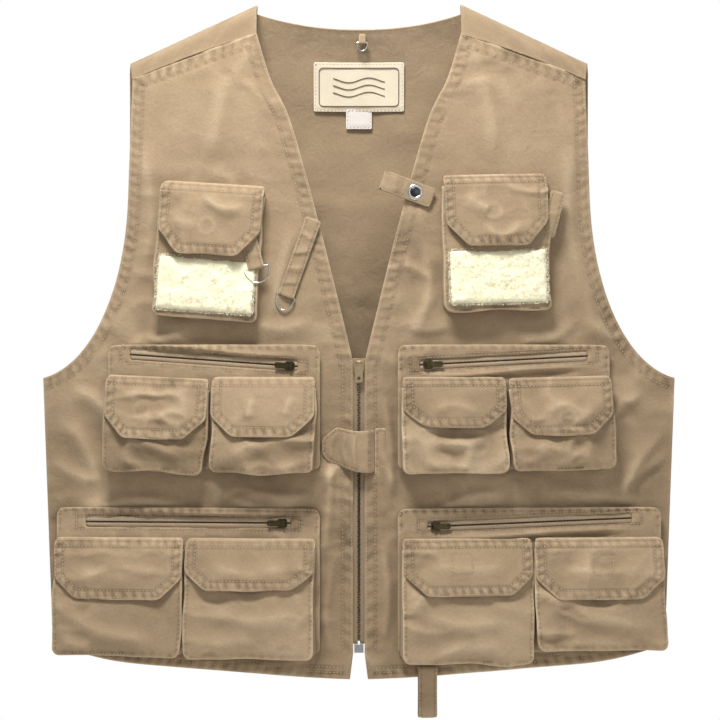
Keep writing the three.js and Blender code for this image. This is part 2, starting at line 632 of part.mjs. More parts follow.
function cargoPocket(name, wallName, from, to, top, height, depth, flapHeight, tilt) {
  const wall = walls[wallName];
  const surface = ZIP_POCKET + GAP;
  const place = frame(wall, alongWall(wall.userData.side, (from + to) / 2), -surface, -top, tilt);
  add(place, `${name}_pocket`, bag(to - from, height, depth), "twill");
  const cover = flap(to - from - 1, flapHeight, FLAP_LIFT, frontSlope(height, depth));
  add(place, `${name}_flap`, cover, "twill", 0, -FLAP_AXIS, 0);
}

// Per side: the zip's slope and, for the inner and outer cargo pocket, flap height, extra height, tilt
const MID_ROW = {
  right: { lean: 4, inner: [54, 0, 0], outer: [56, -2, 2.5] },
  left: { lean: -3, inner: [46, 0, 0], outer: [53, -4, -1.5] },
};
const LOWER_ROW = {
  right: { lean: 0, inner: [46, 0, 0], outer: [55, -2, 0] },
  left: { lean: -2, inner: [51, 5, 0], outer: [55, -6, 0] },
};
const ROWS = {
  mid: {
    specs: MID_ROW, top: MID_TOP, band: MID_BAND, height: MID_HEIGHT, depth: MID_DEPTH,
    inset: MID_INSET, windowEnd: MID_WINDOW_END,
  },
  lower: {
    specs: LOWER_ROW, top: LOWER_TOP, band: LOWER_BAND, height: LOWER_HEIGHT, depth: LOWER_DEPTH,
    inset: LOWER_INSET, windowEnd: LOWER_WINDOW_END,
  },
};

function pocketRow(wallName, rowName) {
  const { specs, top, band, height, depth, inset, windowEnd } = ROWS[rowName];
  const spec = specs[wallName];
  const name = `${wallName}_${rowName}`;
  const { inner, outer } = zipPocket(name, wallName, top, band, height, inset, windowEnd, spec.lean);
  const middle = (inner + outer) / 2;
  const reach = {
    inner: [inner, middle - POCKET_SPACE / 2],
    outer: [middle + POCKET_SPACE / 2, outer],
  };
  for (const [which, [from, to]] of Object.entries(reach)) {
    const [flapHeight, extra, tilt] = spec[which];
    cargoPocket(`${name}_${which}`, wallName, from, to, top + band, height + extra, depth, flapHeight, tilt);
  }
}
for (const wallName of ["right", "left"]) {
  for (const rowName of ["mid", "lower"]) pocketRow(wallName, rowName);
}

// A webbing tab at the inner side of the right chest pocket, with a D-ring
const chestTabX = CHEST_WIDTH / 2 - CHEST_TAB.inset;
const chestTab = frame(rightChest, chestTabX, -(GAP + BARREL), -CHEST_TAB.drop, CHEST_TAB.turn);
add(chestTab, "chest_ring_tab", ringTab(TAB_WIDTH, CHEST_TAB.length), "twill");
add(chestTab, "chest_ring", ringGeometry(CHEST_RING), "nickel");

// The matching tab on the left chest pocket carries no ring
const plainTabX = CHEST_WIDTH / 2 - PLAIN_TAB.inset;
const plainTab = frame(leftChest, plainTabX, -GAP, -PLAIN_TAB.drop, PLAIN_TAB.turn);
const plainOutline = roundedRectangle(TAB_WIDTH / 2 - 1, PLAIN_TAB.length / 2, 1);
const plainCloth = outward(plainOutline, 0, WEBBING, 2);
add(plainTab, "left_chest_tab", plainCloth, "twill", 0, 0, PLAIN_TAB.length / 2);

// The long tab sewn to the right edge of the V, swinging from its seam, with a smaller D-ring
function neckTab() {
  const { length, drop, out, turn } = NECK_TAB;
  const place = frame(walls.right, alongWall(-1, out), -(GAP + BARREL), -drop, turn);
  const strap = geometryFrom(ringTab(TAB_WIDTH, length)).translate(0, 0, -length);
  add(place, "neck_tab", strap, "twill");
  add(place, "neck_ring", ringGeometry(NECK_RING), "nickel", 0, 0, -length);
}
neckTab();

// The snap tab: sewn behind the left edge of the V, folded round it and snapped to its front
function snapTab() {
  const { length, width, drop, out, turn, base, cap } = SNAP_TAB;
  const place = frame(walls.left, alongWall(1, out), 0, -drop, turn);
  const axisOut = GAP + CLOTH + 0.8;
  const strap = extrude(strapShape([[0, 0], [length, 0]], CLOTH), width, X, OUT, minus(Z));
  strap.translate(0, 0, width / 2);
  add(place, "snap_tab", geometryFrom(solidFrom(strap)), "twill", 0, -axisOut, 0);
  const foldOut = axisOut - CLOTH / 2 - GAP;
  const back = CLOTH + GAP;
  const layer = downward(polygon([
    [-CLOTH / 2, foldOut], [CLOTH / 2, foldOut], [CLOTH / 2, -back],
    [base, -back], [base, -back - CLOTH], [-CLOTH / 2, -back - CLOTH],
  ]), width);
  add(place, "snap_tab_base", layer, "twill", 0, 0, width / 2);
  const dome = new THREE.LatheGeometry([
    [0, 0], [SNAP_RADIUS, 0], [SNAP_RADIUS, 0.8], [SNAP_RADIUS * 0.75, SNAP_HEIGHT * 0.8], [0, SNAP_HEIGHT],
  ].map(([r, h]) => new THREE.Vector2(r, h)), 20);
  dome.rotateX(Math.PI);
  add(place, "snap_cap", geometryFrom(solidFrom(dome)), "nickel", cap, -(axisOut + CLOTH / 2 + GAP), 0);
}
snapTab();

// The waist tab: swings on an upright fold left of the zip, arches over it and rests on the right
function waistTab() {
  const { hinge, out, height, drop } = WAIST_TAB;
  const end = -hinge - (ZIP_POCKET_INNER - 1.5);
  const profile = strapShape([[0, 0], [-5, out], [-21, out], [-30, 0], [end, 0]], CLOTH);
  const outline = polygon([
    [5, 2], [-18, 1], [-34, 5], [end, -6],
    [end, -20], [-44, -26], [-16, 1 - height], [5, -height],
  ]);
  const cloth = downward(profile, height + 20).translate([0, 0, 10]);
  const place = frame(vest, hinge, -HALF_DEPTH - GAP - CLOTH, -(MID_FLAP + drop));
  add(place, "waist_tab", cloth.intersect(prism(outline)), "twill");
}
waistTab();

// The rod-holder loop, hanging from the hem under the left inner cargo pocket
function rodLoop() {
  const radius = LOOP.depth / 2;
  const stadium = (r, Kind) => {
    const path = new Kind();
    path.absarc(0, 0, r, 0, Math.PI, false);
    path.absarc(0, -LOOP.length + 2 * radius, r, Math.PI, 2 * Math.PI, false);
    path.closePath();
    return path;
  };
  const shape = stadium(radius, THREE.Shape);
  shape.holes.push(stadium(radius - CLOTH, THREE.Path));
  const pocketBottom = LOWER_FLAP + LOWER_HEIGHT + LOWER_ROW.left.inner[1];
  const top = -pocketBottom - radius - 1.5;
  const place = frame(walls.left, alongWall(1, LOOP.out), -(GAP + radius), top);
  add(place, "rod_loop", acrossWidth(shape, LOOP.width, 6), "twill");
}
rodLoop();

// Inside the back of the neck: a small hanging ring and the label with its size tag
function hangRing() {
  const top = BACK_NECK_DROP + HANG_TAB.drop;
  const inward = depthAt(0, -top) - CLOTH - GAP - WEBBING / 2;
  const place = frame(vest, HANG_TAB.aside, inward, -top - HANG_TAB.length);
  add(place, "hang_ring_tab", ringTab(HANG_TAB_WIDTH, HANG_TAB.length), "twill");
  add(place, "hang_ring", ringGeometry(HANG_RING), "nickel");
}
hangRing();

function neckLabel() {
  const { half, height, drop, tagHalf, tagHeight, thickness } = LABEL;
  const top = -BACK_NECK_DROP - drop;
  const middle = top - height;
  const bottom = middle - tagHeight;
  const outline = polygon([
    [-half, top], [half, top], [half, middle], [tagHalf, middle],
    [tagHalf, bottom], [-tagHalf, bottom], [-tagHalf, middle], [-half, middle],
  ]);
  const cloth = sheet(1, -half - 5, half + 5, -FULL_DEPTH_DROP, top + 5, CLOTH + 2 * GAP, thickness);
  add(vest, "neck_label", cloth.intersect(prism(outline)), "label");
}
neckLabel();

export default vest;
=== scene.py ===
"""A washed khaki fishing vest around its CAD frame. Lengths are millimetres until a mesh is made."""

import json
import math

import bpy
import numpy as np
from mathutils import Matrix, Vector
from mathutils.geometry import delaunay_2d_cdt


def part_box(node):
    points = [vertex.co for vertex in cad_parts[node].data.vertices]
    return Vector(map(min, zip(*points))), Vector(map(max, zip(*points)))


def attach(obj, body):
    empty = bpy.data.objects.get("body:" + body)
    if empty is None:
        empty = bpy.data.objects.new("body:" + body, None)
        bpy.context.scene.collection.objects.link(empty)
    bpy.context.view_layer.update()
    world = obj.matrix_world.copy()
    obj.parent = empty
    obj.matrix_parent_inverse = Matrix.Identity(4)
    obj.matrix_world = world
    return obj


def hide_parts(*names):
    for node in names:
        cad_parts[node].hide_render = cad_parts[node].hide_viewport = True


MM = 0.001
CLOTH = 1.2
GAP = 0.3

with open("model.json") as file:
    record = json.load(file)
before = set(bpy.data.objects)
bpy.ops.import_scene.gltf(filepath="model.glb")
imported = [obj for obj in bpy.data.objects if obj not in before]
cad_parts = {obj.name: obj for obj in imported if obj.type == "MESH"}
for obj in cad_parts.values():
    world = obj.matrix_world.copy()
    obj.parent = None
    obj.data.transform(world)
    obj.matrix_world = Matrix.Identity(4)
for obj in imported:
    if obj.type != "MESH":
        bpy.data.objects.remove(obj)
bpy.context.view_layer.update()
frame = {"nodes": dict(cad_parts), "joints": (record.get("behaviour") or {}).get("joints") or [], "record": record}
joints = {j["name"]: j for j in frame["joints"]}
body_of = {n: b for b, ns in frame["record"]["behaviour"]["bodies"].items() for n in ns}

# ---------------------------------------------------------------- measures taken from the frame


def box(node):
    low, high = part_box(node)
    return np.array(low) / MM, np.array(high) / MM


def corners(node):
    mesh = frame["nodes"][node].data
    co = np.empty(len(mesh.vertices) * 3)
    mesh.vertices.foreach_get("co", co)
    return co.reshape(-1, 3) / MM


def joint_place(name):
    joint = joints[name]
    axis = np.array(joint["axis"], float)
    place = np.array(joint["pos_m"]) / MM if "pos_m" in joint else None
    return place, axis / np.linalg.norm(axis)


def unit(v):
    return np.array(v, float) / np.linalg.norm(v)


UP = np.array([0.0, 0.0, 1.0])
HALF_DEPTH = -box("front_panel_left")[0][1]
CHEST_HALF = box("front_panel_left")[1][0]
FLAT_HALF = 20.0
SIDE_HALF_DEPTH = CLOTH + GAP / 2
SLOPE = (HALF_DEPTH - SIDE_HALF_DEPTH) / (CHEST_HALF - FLAT_HALF)
NECK_HALF = 94.0
SHOULDER_HALF = 212.0
SHOULDER_DROP = 55.0
SHOULDER_SHARE = 0.25
FULL_DEPTH_DROP = 150.0
HEM = -box("front_panel_left")[0][2]


def fullness(z):
    """Share of the body's full depth at a height."""
    left = 1 - np.clip(-z, 0, FULL_DEPTH_DROP) / FULL_DEPTH_DROP
    return SHOULDER_SHARE + (1 - SHOULDER_SHARE) * (1 - left * left)


def depth_at(x, z):
    """From the mid plane to the outside of the cloth."""
    lean = np.maximum(np.abs(x) - FLAT_HALF, 0) * SLOPE
    return (HALF_DEPTH - lean) * fullness(z)


def shoulder_line(x):
    return -SHOULDER_DROP * (np.abs(x) - NECK_HALF) / (SHOULDER_HALF - NECK_HALF)


def shoulder_radius(x):
    radius = depth_at(x, shoulder_line(x))
    for _ in range(4):
        radius = depth_at(x, shoulder_line(x) - radius)
    return radius


PANEL_EDGE = 5.15
NECK_SEAM = shoulder_line(NECK_HALF) - 27
ARM_SEAM = shoulder_line(SHOULDER_HALF) - 13
PIT = 344.0
HEM_TAPER = 9.0
BACK_NECK_DROP = 21.0
ZIP_TOP = -box("zip_stringer_left")[1][2]
SIDE_DROP = -box("back_panel")[0][2]
ZIP_FOOT = -box("zip_retainer_box")[0][2]


# ---------------------------------------------------------------- noise, lines and outlines


LATTICE = 64


def noise(points, size, seed):
    """Smooth noise from -1 to 1 over 2-D points, with lumps about `size` across."""
    lattice = np.random.default_rng(seed).uniform(-1, 1, (LATTICE, LATTICE))
    p = np.asarray(points, float) / size + 1000
    cell = np.floor(p).astype(int)
    t = p - cell
    t = t * t * (3 - 2 * t)
    x, y = cell[:, 0] % LATTICE, cell[:, 1] % LATTICE
    next_x, next_y = (x + 1) % LATTICE, (y + 1) % LATTICE
    a = lattice[x, y]
    b = lattice[next_x, y]
    c = lattice[x, next_y]
    d = lattice[next_x, next_y]
    low = a + (b - a) * t[:, 0]
    high = c + (d - c) * t[:, 0]
    return low + (high - low) * t[:, 1]


def lengths(line):
    return np.concatenate([[0], np.cumsum(np.linalg.norm(np.diff(line, axis=0), axis=1))])


def resample(line, step):
    """Points an even step apart on an open line, ends kept."""
    s = lengths(line)
    n = max(2, int(round(s[-1] / step)) + 1)
    at = np.linspace(0, s[-1], n)
    return np.stack([np.interp(at, s, line[:, i]) for i in range(line.shape[1])], 1)


def closed(loop):
    return np.vstack([loop, loop[:1]])


def signed_area(loop):
    """Above 0 for an outline that runs anticlockwise."""
    x, y = loop[:, 0], loop[:, 1]
    return 0.5 * np.sum(x * np.roll(y, -1) - y * np.roll(x, -1))


def curve(points, step=2.0):
    """A smooth open line through given points."""
    p = np.array(points, float)
    if len(p) == 2:
        return resample(p, step)
    padded = np.vstack([2 * p[0] - p[1], p, 2 * p[-1] - p[-2]])
    t = np.linspace(0, 1, 16, endpoint=False)[:, None]
    parts = []
    for a, b, c, d in zip(padded, padded[1:], padded[2:], padded[3:]):
        parts.append(0.5 * (2 * b + (c - a) * t + (2 * a - 5 * b + 4 * c - d) * t ** 2
                            + (3 * b - a - 3 * c + d) * t ** 3))
    return resample(np.vstack(parts + [p[-1:]]), step)


def outline(points, step=2.0, corner=30.0, round_by=2.5):
    """A closed outline: gentle bends become curves, sharp corners are rounded a little."""
    p = np.array(points, float)
    into = p - np.roll(p, 1, 0)
    out = np.roll(p, -1, 0) - p
    turn = np.degrees(np.abs(np.angle((out[:, 0] + 1j * out[:, 1]) / (into[:, 0] + 1j * into[:, 1]))))
    sharp = np.flatnonzero(turn > corner)
    if not len(sharp):
        return curve(closed(p), step)[:-1]
    runs = []
    for a, b in zip(sharp, np.roll(sharp, -1)):
        count = (b - a) % len(p) or len(p)
        runs.append(curve(p[[(a + i) % len(p) for i in range(count + 1)]], 0.5))
    result = []
    for before, after in zip(runs, runs[1:] + runs[:1]):
        reach = min(round_by, lengths(before)[-1] * 0.4, lengths(after)[-1] * 0.4)
        s = lengths(before)
        keep = before[(s >= min(round_by, s[-1] * 0.4)) & (s <= s[-1] - reach)]
        a, b = keep[-1], after[np.searchsorted(lengths(after), reach)]
        t = np.linspace(0, 1, 7)[1:-1, None]
        bend = (1 - t) ** 2 * a + 2 * t * (1 - t) * before[-1] + t ** 2 * b
        result += [keep, bend]
    return resample(closed(np.vstack(result)), step)[:-1]


def nearest(points, line):
    """Distance to an open line, place along it, and side (+1 left of its direction)."""
    points = np.asarray(points, float)
    best = np.full(len(points), 1e9)
    along = np.zeros(len(points))
    side = np.zeros(len(points))
    s = lengths(line)
    for a, b, start in zip(line, line[1:], s):
        d = b - a
        size = max(np.linalg.norm(d), 1e-9)
        rel = points - a
        t = np.clip((rel @ d) / size ** 2, 0, 1)
        gap = np.linalg.norm(rel - t[:, None] * d, axis=1)
        closer = gap < best
        best[closer] = gap[closer]
        along[closer] = start + t[closer] * size
        side[closer] = np.sign(d[0] * rel[closer, 1] - d[1] * rel[closer, 0])
    return best, along, side


def inside(points, loop):
    x, y = points[:, 0], points[:, 1]
    hit = np.zeros(len(points), bool)
    for (x0, y0), (x1, y1) in zip(loop, np.roll(loop, -1, 0)):
        crosses = (y0 > y) != (y1 > y)
        if y0 != y1:
            hit ^= crosses & (x < (x1 - x0) * (y - y0) / (y1 - y0) + x0)
    return hit


# ---------------------------------------------------------------- relief: folds, puckers, stitches


def creases(uv, size, seed):
    """Sharp-crested wrinkles that wander, from about -1 in the hollows to 0.6 on the crests."""
    bend = np.stack([noise(uv, size * 1.6, seed), noise(uv, size * 1.6, seed + 1)], 1) * size * 0.55
    grain = noise((uv + bend) * [0.62, 1.0], size, seed + 2)
    return 0.6 - 2.0 * np.abs(grain)


class Relief:
    """Heights above a cloth's surface, in the cloth's own flat coordinates, and each spot's wear with painted
    shade and painted light.
    """

    def __init__(self, seed, rough=0.35, rumple=0.0, rumple_size=45.0, crumple=0.0):
        self.seed = seed
        self.rough = rough
        self.rumple = rumple
        self.rumple_size = rumple_size
        self.crumple = crumple
        self.folds = []
        self.seams = []
        self.rings = []
        self.painted_shading = []
        self.threads = []

    def fold(self, points, height, width):
        """A ridge along a line, or a hollow where the height is below 0, fading out towards its ends."""
        self.folds.append((curve(points, 4.0), height, width))
        return self

    def seam(self, line, inset=(2.0,), pucker=0.45, pitch=8.0, band=None, side=1):
        """Rows of stitches beside a line, at each inset to its left, with puckers between it and the last."""
        line = np.asarray(line, float)
        self.seams.append((line, inset, pucker, pitch, band or max(inset), side))
        d = np.gradient(line, axis=0)
        normal = np.stack([-d[:, 1], d[:, 0]], 1) / np.linalg.norm(d, axis=1)[:, None]
        for reach in inset:
            self.threads.append(line + normal * reach * side)
        return self

    def paint_shading(self, points, amount, width):
        """A broad patch of painted shade along a line, or of painted light where the amount is above 0."""
        self.painted_shading.append((curve(points, 8.0), amount, width))
        return self

    def ring(self, centre, radius, height):
        """The round impression of a snap behind the cloth."""
        self.rings.append((np.array(centre, float), radius, height))

    def at(self, uv):
        """Height, and wear with painted shade and painted light, at points of the cloth."""
        height = self.rough * 0.5 * (noise(uv, 17, self.seed) + 0.6 * noise(uv, 8, self.seed + 1))
        height += self.rumple * (noise(uv, self.rumple_size, self.seed + 2)
                                 + 0.5 * noise(uv[:, ::-1], self.rumple_size * 0.45, self.seed + 3))
        wear_and_shade = np.zeros(len(uv))
        if self.crumple:
            patchy = np.clip(0.55 + 0.9 * noise(uv, 60, self.seed + 7), 0.1, 1.3)
            wide = creases(uv, 24, self.seed + 8) * patchy
            fine = creases(uv, 11, self.seed + 12) * patchy
            height += self.crumple * (wide + 0.4 * fine)
            # Crumple crests are paler with wear; the hollows are darker with painted shade.
            wear_and_shade += 0.22 * min(self.crumple, 1.2) * (wide + 0.7 * fine)
        for line, tall, width in self.folds:
            gap, along, side = nearest(uv, line)
            total = lengths(line)[-1]
            ends = np.clip(np.minimum(along, total - along) / (0.3 * total), 0, 1)
            ends = ends * ends * (3 - 2 * ends)
            reach = np.where(side > 0, width * 0.6, width * 1.25)
            bump = np.exp(-(gap / reach) ** 2) * ends
            height += tall * bump
            # Fold crests are paler with wear; folds below 0 are darker with painted shade.
            crest = np.exp(-(gap / (reach * 0.5)) ** 2) * ends
            wear_and_shade += np.sign(tall) * 0.35 * min(abs(tall) / 2.5, 1) * crest
        # Broad patches: painted shade, and painted light where the amount is above 0.
        for line, amount, width in self.painted_shading:
            wear_and_shade += amount * np.exp(-(nearest(uv, line)[0] / width) ** 2)
        for k, (line, inset, pucker, pitch, band, want) in enumerate(self.seams):
            gap, along, side = nearest(uv, line)
            total = lengths(line)[-1]
            near = (side * want > 0) | (gap < 0.3)
            near &= (along > 0.2) & (along < total - 0.2) | (gap < 1)
            shift = 2.2 * noise(np.stack([along, along * 0], 1), 14, self.seed + 20 + k)
            wave = np.sin(2 * math.pi * (along + shift) / pitch + gap * 0.25)
            power = 0.55 + 0.45 * noise(np.stack([along, along * 0 + 50], 1), 30, self.seed + 40 + k)
            across = np.clip(gap / band, 0, 1.8)
            shape = np.exp(-((across - 0.55) / 0.42) ** 2) * near
            height += pucker * shape * power * (wave - 0.2)
            # Pucker crests are paler with wear and their hollows darker with painted shade.
            wear_and_shade += 0.7 * shape * power * np.minimum(wave - 0.25, 0.4) * min(pucker * 2, 1)
            # Each stitch row is darker, partly the dye held in a washed seam and partly painted shade in its
            # groove.
            for reach in inset:
                row = np.exp(-((gap - reach) / 0.9) ** 2) * near
                height -= 0.55 * row
                wear_and_shade -= 0.6 * row
            wear_and_shade += 0.35 * np.exp(-(gap / 1.0) ** 2) * near
        for centre, radius, tall in self.rings:
            gap = np.linalg.norm(uv - centre, axis=1)
            bump = np.exp(-((gap - radius) / 1.5) ** 2)
            height += tall * bump - 0.4 * tall * np.exp(-(gap / (radius * 0.7)) ** 2)
            wear_and_shade += 0.22 * bump
        return height, wear_and_shade


# ---------------------------------------------------------------- meshes


UV_PER_MM = 0.01


def make_object(name, verts, faces, material, body, wear_and_shade=None, uv=None, smooth=True):
    mesh = bpy.data.meshes.new(name)
    mesh.from_pydata((np.asarray(verts) * MM).tolist(), [], faces)
    mesh.polygons.foreach_set("use_smooth", [smooth] * len(mesh.polygons))
    if wear_and_shade is not None:
        layer = mesh.attributes.new("wear_and_shade", "FLOAT", "POINT")
        layer.data.foreach_set("value", np.asarray(wear_and_shade, np.float32))
    if uv is not None:
        layer = mesh.uv_layers.new(name="UVMap")
        loops = np.empty(len(mesh.loops), int)
        mesh.loops.foreach_get("vertex_index", loops)
        layer.data.foreach_set("uv", (np.asarray(uv)[loops] * UV_PER_MM).ravel())
    mesh.materials.append(material)
    mesh.update()
    obj = bpy.data.objects.new(name, mesh)
    bpy.context.scene.collection.objects.link(obj)
    if body:
        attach(obj, body)
    return obj


def vertex_normals(verts, faces):
    tri = np.array([(f[0], f[i], f[i + 1]) for f in faces for i in range(1, len(f) - 1)])
    a, b, c = verts[tri[:, 0]], verts[tri[:, 1]], verts[tri[:, 2]]
    face = np.cross(b - a, c - a)
    normals = np.zeros_like(verts)
    for k in range(3):
        np.add.at(normals, tri[:, k], face)
    return normals / np.maximum(np.linalg.norm(normals, axis=1), 1e-12)[:, None]


def thicken(verts, faces, thickness):
    """A second skin behind an open surface, joined to it all round its rims."""
    verts = np.asarray(verts, float)
    back = verts - vertex_normals(verts, faces) * thickness
    n = len(verts)
    edges = {}
    for f in faces:
        for a, b in zip(f, f[1:] + f[:1]):
            edges[(a, b)] = True
    rims = [(a, b) for a, b in edges if (b, a) not in edges]
    walls = [[b, a, a + n, b + n] for a, b in rims]
    rear = [[i + n for i in reversed(f)] for f in faces]
    return np.vstack([verts, back]), list(faces) + rear + walls


def flat_mesh(loop, step, holes=(), rings=(0.8,)):
    """Points and faces that fill an outline, its own points first."""
    low, high = loop.min(0), loop.max(0)
    xs = np.arange(low[0], high[0] + step, step)
    ys = np.arange(low[1], high[1] + step, step * 0.866)
    gx, gy = np.meshgrid(xs, ys)
    gx[1::2] += step / 2
    grid = np.stack([gx.ravel(), gy.ravel()], 1)
    grid = grid[inside(grid, loop)]
    lines = [loop, *holes]
    for hole in holes:
        grid = grid[~inside(grid, hole)]
    extra = []
    for line in lines:
        grid = grid[nearest(grid, closed(line))[0] > max(rings) + step * 0.45]
        d = np.roll(line, -1, 0) - np.roll(line, 1, 0)
        normal = np.stack([-d[:, 1], d[:, 0]], 1) / np.maximum(np.linalg.norm(d, axis=1), 1e-9)[:, None]
        toward = np.sign(signed_area(line)) * (1 if line is loop else -1)
        for reach in rings:
            extra.append(line + normal * reach * toward)
    points = np.vstack([*lines, *extra, grid])
    edges = []
    start = 0
    for line in lines:
        edges += [(start + i, start + (i + 1) % len(line)) for i in range(len(line))]
        start += len(line)
    verts, _, faces, _, _, _ = delaunay_2d_cdt(points.tolist(), edges, [], 0, 1e-5)
    points = np.array([tuple(v) for v in verts])
    faces = [list(f) for f in faces]
    centre = np.array([points[f].mean(0) for f in faces])
    keep = inside(centre, loop)
    for hole in holes:
        keep &= ~inside(centre, hole)
    faces = [f for f, k in zip(faces, keep) if k]
    used = sorted({i for f in faces for i in f})
    renumber = {old: new for new, old in enumerate(used)}
    return points[used], [[renumber[i] for i in f] for f in faces]


def cloth(name, loop, place, relief, material, body, step=2.4, holes=(), thickness=CLOTH, edge=0.5,
          facing=1, rings=(0.8,)):
    """One piece of cloth. place(uv, height) gives points in space; facing is -1 where it turns faces over."""
    uv, faces = flat_mesh(loop, step, holes, rings)
    height, wear_and_shade = relief.at(uv)
    rim = np.full(len(uv), 1e9)
    for line in (loop, *holes):
        rim = np.minimum(rim, nearest(uv, closed(line))[0])
    height = height - edge * np.exp(-(rim / 0.7) ** 2)
    # The rim is paler with wear and with a painted highlight where an edge catches the light.
    wear_and_shade = wear_and_shade + 0.3 * np.exp(-(rim / 1.0) ** 2)
    verts = place(uv, height)
    if facing < 0:
        faces = [f[::-1] for f in faces]
    verts, faces = thicken(verts, faces, thickness)
    wear_and_shade = np.concatenate([wear_and_shade, wear_and_shade * 0.3])
    made = make_object(name, verts, faces, material, body, wear_and_shade, np.vstack([uv, uv]))
    sew(relief.threads, place, relief, body)
    return made


stitches = {}
STITCH = 2.3
STITCH_SPACE = 3.3
THREAD = 0.34


def sew(lines, place, relief, body):
    """Runs of single stitches, kept for one mesh of thread per body."""
    for line in lines:
        total = lengths(line)[-1]
        count = int(total / STITCH_SPACE)
        if count < 2:
            continue
        starts = (np.arange(count) + 0.15) * total / count
        t = np.array([0.0, 0.18, 0.5, 0.82, 1.0])
        at = (starts[:, None] + STITCH * t[None]).ravel()
        s = lengths(line)
        uv = np.stack([np.interp(at, s, line[:, i]) for i in range(2)], 1)
        height = relief.at(uv)[0] + np.tile([-0.25, 0.12, 0.2, 0.12, -0.25], count)
        path = place(uv, height)
        level = np.maximum(height, 0)
        up = place(uv, level + 1.0) - place(uv, level)
        stitches.setdefault(body, []).append((path.reshape(count, 5, 3), up.reshape(count, 5, 3)))


def thread_mesh(body, runs, material):
    paths = np.vstack([p for p, _ in runs])
    ups = np.vstack([u for _, u in runs])
    ups /= np.linalg.norm(ups, axis=2, keepdims=True)
    along = np.gradient(paths, axis=1)
    along /= np.maximum(np.linalg.norm(along, axis=2, keepdims=True), 1e-9)
    aside = np.cross(along, ups)
    sizes = THREAD * np.array([0.35, 0.9, 1.0, 0.9, 0.35])
    sides = 5
    rings = []
    for k in range(sides):
        angle = 2 * math.pi * k / sides
        rings.append(paths + sizes[None, :, None] * (aside * math.cos(angle) + ups * math.sin(angle)))
    verts = np.stack(rings, 2).reshape(-1, 3)
    faces = []
    for n in range(len(paths)):
        base = n * 5 * sides
        for i in range(4):
            for k in range(sides):
                a, b = base + i * sides + k, base + i * sides + (k + 1) % sides
                faces.append([a, b, b + sides, a + sides])
        faces.append([base + k for k in reversed(range(sides))])
        faces.append([base + 4 * sides + k for k in range(sides)])
    make_object(f"stitches_{body}", verts, faces, material, body)


# ---------------------------------------------------------------- materials


class Nodes:
    """Short names for building a material's node tree. Underscores in a value's name stand for spaces."""

    def __init__(self, name):
        self.material = bpy.data.materials.new(name)
        self.material.use_nodes = True
        self.tree = self.material.node_tree
        self.shader = self.tree.nodes["Principled BSDF"]

    def add(self, kind, links=(), **values):
        node = self.tree.nodes.new(kind)
        for key, value in values.items():
            if hasattr(node, key):
                setattr(node, key, value)
            else:
                node.inputs[key.replace("_", " ")].default_value = value
        for socket, source in dict(links).items():
            self.tree.links.new(source, node.inputs[socket])
        return node

    def math(self, operation, a, b=0.0, clamp=False):
        node = self.tree.nodes.new("ShaderNodeMath")
        node.operation = operation
        node.use_clamp = clamp
        for k, value in enumerate((a, b)):
            if isinstance(value, (int, float)):
                node.inputs[k].default_value = value
            else:
                self.tree.links.new(value, node.inputs[k])
        return node.outputs[0]

    def mix(self, share, a, b, blend="MIX"):
        node = self.tree.nodes.new("ShaderNodeMix")
        node.data_type = "RGBA"
        node.blend_type = blend
        for socket, value in ((node.inputs[0], share), (node.inputs[6], a), (node.inputs[7], b)):
            if isinstance(value, (int, float)):
                socket.default_value = value
            elif isinstance(value, tuple):
                socket.default_value = (*value, 1.0)
            else:
                self.tree.links.new(value, socket)
        return node.outputs[2]

    def set(self, **values):
        for key, value in values.items():
            self.shader.inputs[key.replace("_", " ")].default_value = value

    def link(self, socket, source):
        self.tree.links.new(source, self.shader.inputs[socket])
        return self


